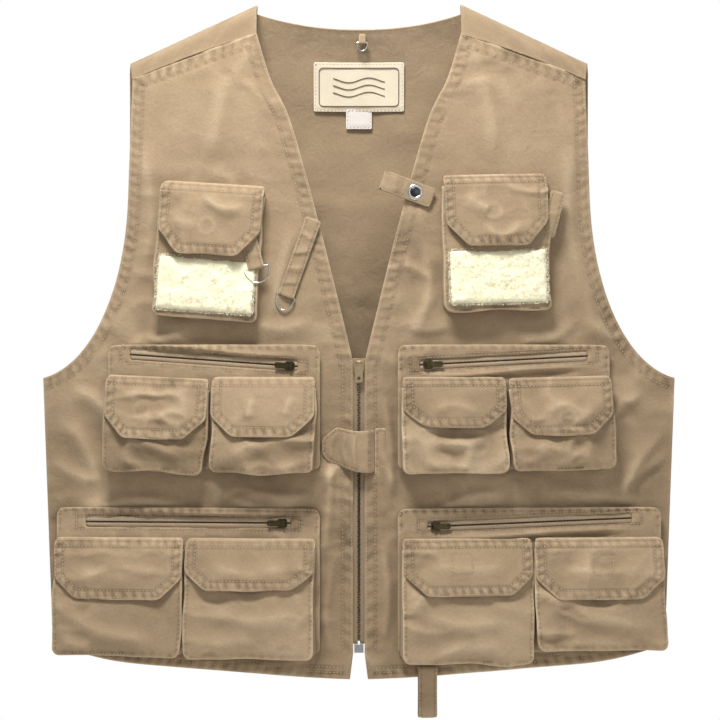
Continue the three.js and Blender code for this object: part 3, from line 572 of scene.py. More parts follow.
def woven(name, colour, dark, light, line=0.75, bump=0.35, mottle=0.5, crush=0.14):
    """Washed twill: slanting weave lines, mottled dye, pale worn edges and darker seams, with painted shade in
    hollows and painted light on crests.
    """
    n = Nodes(name)
    n.set(Roughness=0.92, Sheen_Weight=0.12, Sheen_Roughness=0.6, Specular_IOR_Level=0.25)
    uv = n.add("ShaderNodeUVMap", uv_map="UVMap").outputs[0]
    wear_and_shade = n.add("ShaderNodeAttribute", attribute_name="wear_and_shade").outputs["Fac"]
    turned = n.add("ShaderNodeMapping", {"Vector": uv}, Rotation=(0, 0, math.radians(28)))
    rib = n.add("ShaderNodeTexWave", {"Vector": turned.outputs[0]}, Scale=31.4 / line,
                Distortion=1.2, Detail=2.0, Detail_Scale=3.0)
    cloudy = n.add("ShaderNodeTexNoise", {"Vector": uv}, Scale=2.6, Detail=4.0, Roughness=0.6)
    fleck = n.add("ShaderNodeTexNoise", {"Vector": uv}, Scale=42.0, Detail=3.0, Roughness=0.7)
    slub = n.add("ShaderNodeMapping", {"Vector": turned.outputs[0]}, Scale=(1.0, 9.0, 1.0))
    streak = n.add("ShaderNodeTexNoise", {"Vector": slub.outputs[0]}, Scale=16.0, Detail=3.0)
    tone = wear_and_shade
    for texture, share in ((cloudy, 0.9 * mottle), (fleck, 1.1 * mottle), (streak, 0.8 * mottle), (rib, 0.1)):
        centred = n.math("SUBTRACT", texture.outputs["Fac"], 0.5)
        tone = n.math("ADD", tone, n.math("MULTIPLY", centred, share))
    low = n.math("MULTIPLY", tone, -1.0, clamp=True)
    high = n.math("MULTIPLY", tone, 1.0, clamp=True)
    shade = n.mix(high, n.mix(low, colour, dark), light)
    n.link("Base Color", shade)
    crinkle = n.add("ShaderNodeTexNoise", {"Vector": uv}, Scale=7.0, Detail=5.0, Roughness=0.55,
                    Distortion=0.7)
    crest = n.math("MULTIPLY", n.math("ABSOLUTE", n.math("SUBTRACT", crinkle.outputs["Fac"], 0.5)), -1.0)
    crinkled = n.add("ShaderNodeBump", {"Height": crest}, Strength=crush, Distance=0.01)
    grain = n.math("ADD", n.math("MULTIPLY", rib.outputs["Fac"], 0.6), fleck.outputs["Fac"])
    relief = n.add("ShaderNodeBump", {"Height": grain, "Normal": crinkled.outputs[0]}, Strength=bump,
                   Distance=0.0006)
    n.link("Normal", relief.outputs[0])
    return n.material


def metal(name, colour, rough, grime, painted=False):
    """Worn metal or paint with spots of grime."""
    n = Nodes(name)
    n.set(Metallic=0.0 if painted else 1.0, Coat_Weight=0.2 if painted else 0.0)
    place = n.add("ShaderNodeTexCoord").outputs["Object"]
    spots = n.add("ShaderNodeTexNoise", {"Vector": place}, Scale=420.0, Detail=4.0)
    share = n.math("MULTIPLY", n.math("SUBTRACT", spots.outputs["Fac"], 0.48), 2.2, clamp=True)
    n.link("Base Color", n.mix(share, colour, grime))
    n.link("Roughness", n.math("ADD", n.math("MULTIPLY", spots.outputs["Fac"], 0.3), rough - 0.12))
    relief = n.add("ShaderNodeBump", {"Height": spots.outputs["Fac"]}, Strength=0.12, Distance=0.0003)
    n.link("Normal", relief.outputs[0])
    return n.material


def pile(name, colour, deep):
    """Curled fleece, with painted shade between its tufts."""
    n = Nodes(name)
    n.set(Roughness=1.0, Sheen_Weight=1.0, Sheen_Roughness=0.6, Specular_IOR_Level=0.1)
    wear_and_shade = n.add("ShaderNodeAttribute", attribute_name="wear_and_shade").outputs["Fac"]
    place = n.add("ShaderNodeTexCoord").outputs["Object"]
    tuft = n.add("ShaderNodeTexNoise", {"Vector": place}, Scale=260.0, Detail=3.0)
    share = n.math("ADD", n.math("MULTIPLY", tuft.outputs["Fac"], 0.5), wear_and_shade, clamp=True)
    n.link("Base Color", n.mix(share, deep, colour))
    curls = n.add("ShaderNodeTexNoise", {"Vector": place}, Scale=420.0, Detail=2.0, Distortion=1.5)
    relief = n.add("ShaderNodeBump", {"Height": curls.outputs["Fac"]}, Strength=0.4, Distance=0.0012)
    n.link("Normal", relief.outputs[0])
    return n.material


def thread(name, colour):
    """Twisted sewing thread."""
    n = Nodes(name)
    n.set(Roughness=0.7, Sheen_Weight=0.2)
    place = n.add("ShaderNodeTexCoord").outputs["Object"]
    ply = n.add("ShaderNodeTexWave", {"Vector": place}, Scale=900.0, Distortion=2.0)
    darker = tuple(c * 0.7 for c in colour)
    n.link("Base Color", n.mix(ply.outputs["Fac"], darker, colour))
    return n.material


TWILL = woven("twill", (0.37, 0.264, 0.158), (0.155, 0.105, 0.057), (0.63, 0.49, 0.32))
LINING = woven("twill_inside", (0.34, 0.242, 0.145), (0.15, 0.1, 0.055), (0.56, 0.435, 0.28), bump=0.25)
TAPE = woven("zip_tape", (0.42, 0.31, 0.2), (0.2, 0.14, 0.085), (0.62, 0.5, 0.35),
             line=0.5, mottle=0.8, crush=0.05)
MAIN_TAPE = woven("main_zip_tape", (0.29, 0.208, 0.125), (0.13, 0.09, 0.05), (0.42, 0.32, 0.2),
                  line=0.5, crush=0.05)
LABEL = woven("label", (0.80, 0.71, 0.54), (0.5, 0.42, 0.27), (0.85, 0.8, 0.66),
              line=0.4, bump=0.15, mottle=0.2, crush=0.04)
TAG = woven("size_tag", (0.78, 0.74, 0.68), (0.6, 0.5, 0.42), (0.86, 0.84, 0.8),
            line=0.4, bump=0.1, mottle=0.15, crush=0.04)
BORDER = thread("label_thread", (0.16, 0.075, 0.04))
THREADS = thread("thread", (0.52, 0.40, 0.27))
FLEECE = pile("fleece", (1.0, 0.95, 0.68), (0.93, 0.85, 0.56))
TEETH = metal("dark_teeth", (0.035, 0.027, 0.018), 0.5, (0.07, 0.055, 0.04), painted=True)
BRONZE = metal("dark_bronze", (0.10, 0.082, 0.042), 0.38, (0.03, 0.025, 0.015))
BRASS = metal("pale_brass", (0.55, 0.42, 0.26), 0.42, (0.25, 0.18, 0.1))
NICKEL = metal("nickel", (0.66, 0.66, 0.65), 0.22, (0.28, 0.26, 0.24))
BLACK = metal("snap_centre", (0.012, 0.012, 0.013), 0.2, (0.03, 0.03, 0.03), painted=True)

# ---------------------------------------------------------------- places on the vest


def straight_x(x, z):
    """x as if the side seams ran straight down, so that the front and back meet along them."""
    drop = np.clip((-z - PIT) / (SIDE_DROP - PIT), 0, 1)
    return x * CHEST_HALF / (CHEST_HALF - HEM_TAPER * drop)


def on_front(uv, height):
    x, z = uv[:, 0], uv[:, 1]
    return np.stack([x, -(depth_at(straight_x(x, z), z) + height), z], 1)


def on_back(uv, height):
    """The back, over the shoulders and down to the front seams. v runs on past the fold."""
    x, v = uv[:, 0], uv[:, 1]
    radius = shoulder_radius(x)
    top = shoulder_line(x) - radius
    past = v - top
    angle = np.clip(past / radius, 0, math.pi)
    over = np.maximum(past - math.pi * radius, 0)
    level = np.minimum(v, top) - over
    open_depth = depth_at(straight_x(x, level), level)
    depth = np.where((past > 0) & (over <= 0), radius, open_depth)
    y = (depth + height) * np.cos(angle)
    z = level + (radius + height) * np.sin(angle)
    return np.stack([x, y, z], 1)


def flat_place(origin, x_dir, out):
    """Points on a plane in space: u along x_dir, v upward, heights along out."""
    up = unit(np.cross(out, x_dir))

    def place(uv, height):
        return origin + uv[:, :1] * x_dir + uv[:, 1:2] * up + np.asarray(height)[:, None] * out

    return place


def into(origin, x_dir, out, points):
    """Points in space as (u, v, out) of a plane."""
    up = unit(np.cross(out, x_dir))
    rel = points - origin
    return np.stack([rel @ x_dir, rel @ up, rel @ out], 1)


WALL_X = {}
WALL_OUT = {}
for hand in ("right", "left"):
    WALL_X[hand] = -joint_place(f"{hand}_mid_inner_flap_lift")[1]
    WALL_OUT[hand] = unit(np.cross(WALL_X[hand], UP))
# How far a flap's hinge and a pocket's mouth stand off the wall, how far the mouth is below the hinge, and
# the part of a pocket's foot that keeps its full depth
FLAP_AXIS = GAP + CLOTH / 2
MOUTH_DEPTH = 8.0
MOUTH_DROP = 10.0
FOOT = 6.0


class Pocket:
    """The plane a cargo pocket is sewn to, with v = 0 at its flap's seam, and its sizes from the CAD."""

    def __init__(self, name, joint):
        hand = name.split("_")[0]
        self.out = WALL_OUT[hand]
        hinge, axis = joint_place(joint)
        self.x_dir = -axis
        self.origin = hinge - self.out * FLAP_AXIS
        self.place = flat_place(self.origin, self.x_dir, self.out)
        solid = into(self.origin, self.x_dir, self.out, corners(f"{name}_pocket"))
        self.half = solid[:, 0].max()
        self.height = -solid[:, 1].min()
        self.depth = solid[:, 2].max()
        cover = into(self.origin, self.x_dir, self.out, corners(f"{name}_flap"))
        self.flap_half = cover[:, 0].max()
        self.flap_height = -cover[:, 1].min()
        self.slope = (self.depth - MOUTH_DEPTH) / (self.height - MOUTH_DROP - FOOT)
        self.lift = cover[:, 2].max() - MOUTH_DEPTH - self.slope * (self.flap_height - MOUTH_DROP)
        self.belly = 4.0

    def front(self, uv):
        """How far the pocket's front stands out, its belly included."""
        fall = np.clip(-uv[:, 1] - MOUTH_DROP, 0, None)
        across = np.clip(1 - (uv[:, 0] / self.half) ** 2, 0, 1)
        share = np.clip(fall / (self.height - MOUTH_DROP), 0, 1)
        bulge = self.belly * across ** 0.6 * np.sin(math.pi * share ** 0.8)
        lean = np.clip(MOUTH_DEPTH + self.slope * fall, 0, self.depth)
        return lean + bulge


# ---------------------------------------------------------------- pieces of cloth


def bag(name, pocket, relief):
    """A cargo pocket: its front, a bellows gusset round three sides, and its back on the vest."""
    half, height = pocket.half, pocket.height
    radius = 7.0
    arc = np.linspace(0, math.pi / 2, 7)
    low_left = np.stack([-half + radius - radius * np.cos(arc), -height + radius - radius * np.sin(arc)], 1)
    low_right = low_left[::-1] * [-1, 1]
    rim = np.vstack([[[-half, -MOUTH_DROP]], low_left, low_right, [[half, -MOUTH_DROP]]])
    rim = resample(rim, 2.4)
    sway = np.stack([noise(rim, 26, relief.seed + 5), noise(rim, 30, relief.seed + 6)], 1)
    rim = rim + sway * 2.0 * np.clip((-rim[:, 1:2] - MOUTH_DROP) / 20, 0, 1)
    mouth = resample(np.array([rim[-1], rim[0]]), 2.4)[1:-1]

    def slack(points):
        """The cloth is held flat under the flap and hangs loose below it."""
        return np.clip((12 - points[:, 1] - pocket.flap_height) / 12, 0.05, 1)

    loop = np.vstack([rim, mouth])
    count = len(rim)
    relief.seam(rim, inset=(2.2,), pucker=0.16, pitch=9, band=5)
    uv, faces = flat_mesh(loop, 2.3)
    high, wear_and_shade = relief.at(uv)
    high = high * slack(uv)
    gap, _, _ = nearest(uv, rim)
    high += 0.9 * np.exp(-((gap - 0.9) / 1.0) ** 2) - 0.5 * np.exp(-(gap / 0.5) ** 2)
    # The pocket's rim is paler with wear and with a painted highlight along its piping.
    wear_and_shade += 0.45 * np.exp(-((gap - 0.4) / 0.8) ** 2)
    front = pocket.place(uv, pocket.front(uv) + high)
    d = np.gradient(rim, axis=0)
    inward = np.stack([-d[:, 1], d[:, 0]], 1) / np.linalg.norm(d, axis=1)[:, None]
    rows = 9
    verts = [front]
    tones = [wear_and_shade]
    uvs = [uv]
    along = lengths(rim)
    start = high[:count] + pocket.front(rim)
    for k in range(1, rows + 1):
        t = k / rows
        pleat = 4.6 * np.sin(math.pi * t) ** 1.5 - 1.1 * math.sin(math.pi * min(t * 3.2, 1))
        wobble = 1.1 * noise(np.stack([along, along * 0 + 40 * t], 1), 15, relief.seed + 9)
        wobble *= math.sin(math.pi * t)
        out = start * (1 - t) + 0.4 * t
        verts.append(pocket.place(rim + inward * (pleat + wobble)[:, None], out))
        # The gusset is darker at the middle of its pleat, a painted shade, and paler along the front's rim.
        tones.append(np.full(count, -0.22 * math.sin(math.pi * t)) + 0.25 * (k == 1))
        uvs.append(np.stack([along, np.full(count, t * pocket.depth)], 1) + 300)
    base = len(uv)
    last = base + (rows - 1) * count
    previous = list(range(count))
    for k in range(rows):
        row = [base + k * count + i for i in range(count)]
        for i in range(count - 1):
            faces.append([previous[i], row[i], row[i + 1], previous[i + 1]])
        previous = row
    rear = pocket.place(uv[count:], np.full(len(uv) - count, 0.4))
    first = base + rows * count
    swap = {i: last + i for i in range(count)}
    swap.update({i: first + i - count for i in range(count, base)})
    faces += [[swap[i] for i in reversed(f)] for f in faces if max(f) < base]
    verts.append(rear)
    # The pocket's back is painted darker, a painted shade.
    tones.append(np.full(len(rear), -0.15))
    uvs.append(uv[count:])
    verts, faces = thicken(np.vstack(verts), faces, 0.9)
    tone = np.concatenate(tones)
    uvs = np.vstack(uvs)
    # The inner skin is darker by a painted shade.
    made = make_object(f"{name}_cloth", verts, faces, TWILL, "root", np.concatenate([tone, tone * 0.3 - 0.2]),
                       np.vstack([uvs, uvs]))
    sew(relief.threads, lambda p, h: pocket.place(p, pocket.front(p) + h * slack(p)), relief, "root")
    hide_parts(name)


def flap(name, pocket, relief):
    """A pocket's flap, hinged on its seam, hanging over the pocket's front."""
    half, height = pocket.flap_half, pocket.flap_height
    cut = 20.0
    side = -height * 0.66
    curl = 2.6
    bend = 5.2
    low_edge = [[-half, side], [-half + cut, -height], [half - cut, -height], [half, side]]
    loop = outline([[-half, 0.3], *low_edge, [half, 0.3]], step=2.0, corner=20, round_by=4.0)
    sway = np.stack([noise(loop, 30, relief.seed + 5), noise(loop, 24, relief.seed + 6)], 1)
    loop = loop + sway * 0.9 * np.clip(-loop[:, 1:2] / 12, 0, 1)
    foot = outline([[-half, 12], *low_edge, [half, 12]], step=1.5, corner=20, round_by=5.0)
    below = foot[foot[:, 1] < -1.5]
    first = int(np.argmax(np.linalg.norm(below - np.roll(below, 1, 0), axis=1)))
    hem = np.roll(below, -first, 0)
    if hem[0, 0] > 0:
        hem = hem[::-1]
    relief.seam(hem, inset=(1.6, 8.4), pucker=0.62, pitch=8.5, band=8.0)
    top = curve([[half - 0.5, -0.2], [-half + 0.5, -0.2]], 2)
    relief.seam(top, inset=(2.0, 7.6), pucker=0.35, pitch=9, band=7.5)
    start = MOUTH_DEPTH + pocket.lift

    def stand(uv):
        fall = -uv[:, 1]
        turn = (1 - np.exp(-np.clip(fall, 0, None) / bend)) / (1 - math.exp(-10 / bend))
        lean = pocket.slope * np.clip(fall - MOUTH_DROP, 0, None)
        rise = np.minimum(FLAP_AXIS + (start - FLAP_AXIS) * turn, start) + lean
        belly = pocket.front(uv) - np.clip(MOUTH_DEPTH + lean, 0, pocket.depth)
        loose = np.clip(fall / height, 0, 1) ** 2.5
        lift = curl * loose * (0.7 + noise(uv * [1, 0.3], 32, relief.seed + 8))
        return rise + belly + np.maximum(lift, 0) + 0.4

    def place(uv, high):
        return pocket.place(uv, stand(uv) + np.maximum(high, -0.8))

    made = cloth(f"{name}_cloth", loop, place, relief, TWILL, body_of[name], step=2.1)
    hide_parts(name)


# ---------------------------------------------------------------- body panels

# How far in from a side seam, and down from a shoulder seam, the panels take to fold freely
SIDE_HOLD = 22.0
TOP_HOLD = 30.0


def armhole(side, top_x, top_z):
    """From the armpit up to a height on the shoulder."""
    t = np.linspace(0, 1, 24)[:, None]
    straight = np.array([SHOULDER_HALF, -0.52 * PIT])
    pit = np.array([CHEST_HALF, -PIT])
    one = np.array([(SHOULDER_HALF + CHEST_HALF) / 2, -0.97 * PIT])
    two = np.array([SHOULDER_HALF + 4, -0.8 * PIT])
    bend = ((1 - t) ** 3 * pit + 3 * (1 - t) ** 2 * t * one + 3 * (1 - t) * t ** 2 * two + t ** 3 * straight)
    return np.vstack([bend, [[top_x, top_z]]]) * [side, 1]


def covered(uv, hand):
    """From 0 in the open to 1 where a pocket lies on the panel and holds it flat."""
    share = np.zeros(len(uv))
    for piece in (f"{hand}_chest_pocket", f"{hand}_mid_zip_pocket", f"{hand}_lower_zip_pocket", "waist_tab",
                  "rod_loop"):
        low, high = box(piece)
        beside = np.minimum(uv[:, 0] - low[0], high[0] - uv[:, 0])
        within = np.minimum(uv[:, 1] - low[2], high[2] - uv[:, 1])
        share = np.maximum(share, np.clip(np.minimum(beside, within) / 7 + 0.3, 0, 1))
    return share


def front_panel(side, hand):
    """One front half, with its placket, V facing, armhole facing, shoulder seam and hem."""
    hem_half = CHEST_HALF - HEM_TAPER
    hem = curve([(PANEL_EDGE + 3, -HEM), (60, -HEM + 2), (150, -HEM + 8), (225, -HEM + 14),
                 (hem_half, -SIDE_DROP)], 3) * [side, 1]
    arm = armhole(side, SHOULDER_HALF - 4, ARM_SEAM)
    seam = resample(np.array([[side * (SHOULDER_HALF - 4), ARM_SEAM], [side * NECK_HALF, NECK_SEAM]]), 3)
    vee = curve([(NECK_HALF, NECK_SEAM), (NECK_HALF * 0.86, -70), (NECK_HALF * 0.66, -ZIP_TOP * 0.34),
                 (NECK_HALF * 0.38, -ZIP_TOP * 0.63), (PANEL_EDGE + 7, -ZIP_TOP * 0.92),
                 (PANEL_EDGE, -ZIP_TOP - 4)], 3) * [side, 1]
    placket = resample(np.array([[side * PANEL_EDGE, -ZIP_TOP - 4], [side * PANEL_EDGE, -ZIP_FOOT]]), 3)
    loop = np.vstack([hem[:-1], resample(np.vstack([hem[-1:], arm[:1]]), 3)[:-1], resample(arm, 3)[:-1],
                      seam[:-1], vee[:-1], placket])
    relief = Relief(11 if side > 0 else 31, rough=0.55, rumple=1.5, rumple_size=55, crumple=1.6)
    relief.seam(resample(arm, 3), inset=(1.8, 10.0), pucker=0.75, pitch=9.5, band=9.5, side=side)
    relief.seam(vee, inset=(1.8, 11.5), pucker=0.65, pitch=9, band=11, side=side)
    relief.seam(seam, inset=(2.0, 10.5), pucker=0.5, pitch=10, band=9, side=side)
    relief.seam(hem, inset=(5.5, 10.5), pucker=0.55, pitch=10, band=9, side=side)
    relief.seam(placket, inset=(1.6, 9.5), pucker=0.45, pitch=12, band=9, side=side)
    for points, height, width in FRONT_FOLDS[hand]:
        relief.fold(points, height, width)
    # Broad patches of painted shade and painted light, mirrored to each side.
    for points, amount, width in FRONT_PAINTED_SHADING:
        relief.paint_shading([(side * x, z) for x, z in points], amount, width)

    def place(uv, high):
        x, z = uv[:, 0], uv[:, 1]
        held = np.clip((CHEST_HALF - np.abs(x)) / SIDE_HOLD, 0, 1)
        held *= np.clip((-z + NECK_SEAM + 4) / TOP_HOLD, 0, 1)
        held = np.clip(0.15 + held, 0, 1) * (1 - 0.8 * covered(uv, hand))
        return on_front(uv, np.maximum(high, -1.2) * held + 0.1)

    made = cloth(f"front_{hand}", loop, place, relief, TWILL, "root", step=3.3, rings=(0.8, 3.0))
    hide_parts(f"front_panel_{hand}")
    area = abs(signed_area(loop))


def back_panel():
    """The back with its shoulder yokes, cut flat from the hem to the front seams."""
    hem_half = CHEST_HALF - HEM_TAPER
    shoulder_top = shoulder_line(SHOULDER_HALF) - shoulder_radius(SHOULDER_HALF)
    neck_top = shoulder_line(NECK_HALF) - shoulder_radius(NECK_HALF)

    def past(x, seam):
        """Where a seam on the front lies on the cut, measured over the shoulder's fold."""
        radius = shoulder_radius(x)
        top = shoulder_line(x) - radius
        return top + math.pi * radius + (top - seam)

    arm = armhole(1, SHOULDER_HALF, shoulder_top)
    right_end = (SHOULDER_HALF - 3.5, past(SHOULDER_HALF - 3.5, ARM_SEAM - 2))
    neck_end = (NECK_HALF, past(NECK_HALF, NECK_SEAM - 2))
    half = np.vstack([resample(np.array([[hem_half, -SIDE_DROP], [CHEST_HALF, -PIT]]), 4)[:-1],
                      resample(arm, 3)[:-1],
                      resample(np.array([[SHOULDER_HALF, shoulder_top], right_end]), 3)[:-1],
                      resample(np.array([right_end, neck_end]), 3)[:-1],
                      resample(np.array([neck_end, (NECK_HALF, neck_top)]), 3)[:-1]])
    t = np.linspace(-1, 1, 65)
    neck = np.stack([-t * NECK_HALF, neck_top - (neck_top + BACK_NECK_DROP) * (1 - np.abs(t) ** 2.2)], 1)
    mirrored = half[::-1] * [-1, 1]
    hem = resample(np.array([[-hem_half, -SIDE_DROP], [hem_half, -SIDE_DROP]]), 5)
    loop = np.vstack([half, neck, mirrored, hem[1:-1]])
    relief = Relief(51, rough=0.5, rumple=2.2, rumple_size=80, crumple=1.1)
    relief.seam(resample(arm, 3), inset=(1.8, 10.0), pucker=0.6, pitch=9.5, band=9.5, side=1)
    relief.seam(resample(arm, 3) * [-1, 1], inset=(1.8, 10.0), pucker=0.6, pitch=9.5, band=9.5, side=-1)
    relief.seam(neck, inset=(1.8, 9.0), pucker=0.35, pitch=9, band=8.5, side=1)
    relief.seam(hem, inset=(5.5, 10.5), pucker=0.5, pitch=10, band=9, side=1)
    for points, height, width in BACK_FOLDS:
        relief.fold(points, height, width)
    # Painted shadow deep in the back below the V, and painted light across the back under the neck.
    relief.paint_shading([(16, -190), (6, -330)], -0.5, 42)
    relief.paint_shading([(-70, -60), (60, -60)], 0.16, 26)

    def place(uv, high):
        x, v = uv[:, 0], uv[:, 1]
        top = shoulder_line(x) - shoulder_radius(x)
        held = np.clip((CHEST_HALF - np.abs(x)) / SIDE_HOLD, 0, 1)
        held *= np.clip((top - v) / TOP_HOLD, 0.12, 1)
        return on_back(uv, high * held + 0.1)

    made = cloth("back", loop, place, relief, LINING, "root", step=4.2, facing=-1, rings=(0.8, 3.2))
    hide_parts("back_panel")
    area = abs(signed_area(loop))


# Folds: a line of (x, z), a height outward, a width
FRONT_FOLDS = {
    "right": [
        ([(-225, -300), (-205, -312), (-150, -300)], 2.6, 8),
        ([(-270, -352), (-240, -365), (-215, -400)], 5.1, 9),
        ([(-285, -380), (-255, -400), (-235, -450)], 4.2, 9),
        ([(-278, -470), (-240, -462), (-200, -455), (-150, -462)], 4.8, 8),
        ([(-110, -446), (-70, -452), (-38, -450)], 3.8, 7),
        ([(-30, -380), (-26, -440), (-32, -520)], 3.8, 6),
        ([(-22, -500), (-30, -560), (-22, -600)], 2.9, 6),
        ([(-200, -120), (-190, -190), (-200, -260)], 2.9, 12),
        ([(-120, -60), (-130, -110), (-140, -150)], 1.9, 14),
        ([(-60, -200), (-72, -250), (-84, -300)], 2.6, 9),
        ([(-100, -292), (-70, -298), (-40, -290)], 2.9, 8),
        ([(-288, -415), (-262, -432), (-232, -440)], 3.6, 8),
        ([(-286, -505), (-266, -520), (-244, -560)], 3.6, 8),
        ([(-285, -560), (-272, -590), (-250, -612)], 3.2, 7),
        ([(-14, -405), (-24, -430), (-36, -446)], 2.6, 6),
        ([(-120, -452), (-90, -462), (-50, -466)], 2.8, 6),
        ([(-170, -600), (-120, -606), (-60, -602)], 1.6, 6),
    ],
    "left": [
        ([(200, -290), (180, -306), (140, -312)], 3.5, 9),
        ([(270, -352), (240, -372), (216, -410)], 4.5, 9),
        ([(285, -390), (258, -420), (236, -462)], 3.8, 9),
        ([(270, -462), (220, -452), (160, -447)], 4.2, 8),
        ([(60, -470), (100, -452), (140, -448)], 3.5, 7),
        ([(22, -350), (30, -420), (24, -470)], 3.5, 6),
        ([(20, -480), (27, -540), (20, -600)], 2.9, 6),
        ([(196, -120), (192, -190), (204, -260)], 2.6, 12),
        ([(110, -60), (122, -110), (118, -145)], 1.9, 14),
        ([(58, -214), (64, -262), (50, -310)], 2.6, 9),
        ([(90, -296), (60, -300), (36, -294)], 2.6, 8),
        ([(288, -412), (262, -430), (238, -446)], 3.6, 8),
        ([(286, -500), (270, -530), (248, -560)], 3.6, 8),
        ([(284, -580), (262, -600), (236, -616)], 3.0, 7),
        ([(16, -400), (26, -424), (36, -452)], 2.6, 6),
        ([(170, -604), (110, -608), (60, -606)], 1.6, 6),
    ],
}
# Painted shade and light: a line of (x, z), an amount (below 0 paints shade, above 0 paints light), a width
FRONT_PAINTED_SHADING = [
    ([(276, -400), (272, -590)], -0.35, 24),
    ([(26, -370), (24, -640)], -0.28, 24),
    ([(40, -648), (270, -640)], -0.3, 12),
    ([(60, -452), (240, -452)], 0.1, 14),
    ([(190, -60), (160, -130)], 0.1, 40),
]
BACK_FOLDS = [
    ([(-150, -130), (-60, -180), (40, -190)], -2.9, 18),
    ([(60, -140), (20, -240), (30, -330)], -3.2, 22),
    ([(-200, -330), (-120, -380), (-40, -400)], 3.8, 16),
    ([(210, -330), (130, -390), (60, -410)], 3.8, 16),
    ([(-240, -480), (-120, -500), (40, -496)], 3.2, 20),
    ([(250, -500), (140, -530), (0, -540)], 3.5, 20),
]

back_panel()
front_panel(-1, "right")
front_panel(1, "left")

# ---------------------------------------------------------------- pockets

POCKETS = {}
for hand in ("right", "left"):
    for row in ("chest", "mid_inner", "mid_outer", "lower_inner", "lower_outer"):
        name = f"{hand}_{row}"
        POCKETS[name] = Pocket(name, f"{name}_flap_lift")

BAG_FOLDS = {
    "right_chest": [],
    "left_chest": [([(-30, -56), (0, -60), (26, -66)], 1.0, 5)],
    "right_mid_outer": [([(-38, -52), (0, -62), (34, -74)], 3.6, 6),
                        ([(-40, -70), (-10, -78), (20, -80)], 1.8, 8)],
    "right_mid_inner": [([(-34, -70), (-6, -62), (30, -70)], 2.7, 8), ([(10, -84), (34, -76)], 2.2, 6)],
    "left_mid_inner": [([(-36, -56), (-4, -62), (34, -54)], 2.7, 7), ([(-34, -78), (0, -74)], 1.8, 8)],
    "left_mid_outer": [([(-34, -60), (0, -66), (36, -78)], 3.0, 7), ([(-10, -82), (30, -64)], 1.8, 7)],
    "right_lower_outer": [([(-50, -66), (-10, -84), (46, -92)], 3.9, 9), ([(-52, -92), (-20, -98)], 3.3, 7)],
    "right_lower_inner": [([(-50, -60), (0, -72), (50, -66)], 3.0, 10), ([(-40, -94), (10, -88)], 2.1, 9)],
    "left_lower_inner": [([(-50, -66), (0, -76), (46, -70)], 3.0, 9), ([(-30, -102), (30, -94)], 2.4, 9)],
    "left_lower_outer": [([(-48, -62), (0, -70), (50, -84)], 3.3, 9), ([(-36, -92), (30, -96)], 2.0, 9)],
}
FLAP_FOLDS = {
    "right_chest": [([(-10, -12), (12, -22), (32, -20)], 3.6, 5), ([(-36, -34), (-8, -40)], 2.1, 7)],
    "left_chest": [([(-14, -44), (0, -56), (14, -52), (22, -40)], 3.6, 5), ([(-30, -20), (-4, -34)], 2.7, 7)],
    "right_mid_outer": [([(-2, -44), (12, -30), (34, -34)], 3.2, 5), ([(-34, -14), (20, -20)], 1.8, 8)],
    "right_mid_inner": [([(-14, -40), (-10, -18)], 2.2, 6), ([(18, -38), (26, -16)], 2.2, 6)],
    "left_mid_inner": [([(-26, -30), (0, -24), (28, -34)], 2.7, 6)],
    "left_mid_outer": [([(-24, -36), (0, -24), (24, -34)], 2.7, 6), ([(8, -44), (30, -28)], 2.1, 5)],
    "right_lower_outer": [([(-46, -26), (0, -34), (44, -26)], 2.5, 9)],
    "right_lower_inner": [([(-44, -22), (4, -30), (44, -20)], 3.0, 8)],
    "left_lower_inner": [([(-44, -20), (0, -26), (44, -24)], 2.1, 9)],
    "left_lower_outer": [([(-44, -24), (6, -30), (44, -24)], 2.5, 9)],
}
# Painted shade (below 0) and painted light (above 0) for each pocket's front and flap
BAG_PAINTED_SHADING = {"right_mid_outer": -0.42, "right_mid_inner": -0.14, "left_mid_inner": 0.2,
            "left_mid_outer": -0.26, "right_lower_outer": -0.26, "left_lower_inner": 0.08,
            "left_lower_outer": -0.1}
FLAP_PAINTED_SHADING = {"left_mid_inner": -0.24, "left_mid_outer": -0.14, "right_lower_outer": -0.14,
             "right_lower_inner": -0.2, "right_mid_inner": 0.05, "left_lower_inner": -0.06}
HOOK_PADS = {"left_lower_inner": (-6, -22), "left_lower_outer": (2, -24)}
HOOK_HALF = 10.0
SNAPS = {"right_chest": (-2, -40), "left_chest": (-3, -34), "right_mid_outer": (-12, -30),
         "left_mid_outer": (4, -38)}
for number, (name, pocket) in enumerate(POCKETS.items()):
    slack = 0.3 if name.endswith("chest") else 1.0
    body_relief = Relief(100 + number * 7, rough=0.5, rumple=1.8 * slack, rumple_size=34, crumple=3.0 * slack)
    for points, height, width in BAG_FOLDS[name]:
        body_relief.fold(points, height, width)
    # Painted shade over the lower part of the pocket's front, painted light where the amount is above 0.
    body_relief.paint_shading([(-pocket.half, -pocket.height), (pocket.half, -pocket.height * 0.7)],
                       BAG_PAINTED_SHADING.get(name, 0.0), pocket.height * 0.45)
    bag(f"{name}_pocket", pocket, body_relief)
    cover = Relief(200 + number * 7, rough=0.45, rumple=1.5, rumple_size=30, crumple=2.7)
    for points, height, width in FLAP_FOLDS[name]:
        cover.fold(points, height, width)
    if name in SNAPS:
        cover.ring(SNAPS[name], 7.0, 0.55)
    if name in HOOK_PADS:
        x, z = HOOK_PADS[name]
        square = outline([(x - HOOK_HALF, z - HOOK_HALF), (x + HOOK_HALF, z - HOOK_HALF),
                          (x + HOOK_HALF, z + HOOK_HALF), (x - HOOK_HALF, z + HOOK_HALF)], round_by=1.5)
        cover.seam(closed(square), inset=(0.2,), pucker=0.12, pitch=7, band=2)
    # Painted shade across the flap, painted light where the amount is above 0.
    cover.paint_shading([(-pocket.half, -20), (pocket.half, -24)], FLAP_PAINTED_SHADING.get(name, 0.0), 26)
    flap(f"{name}_flap", pocket, cover)

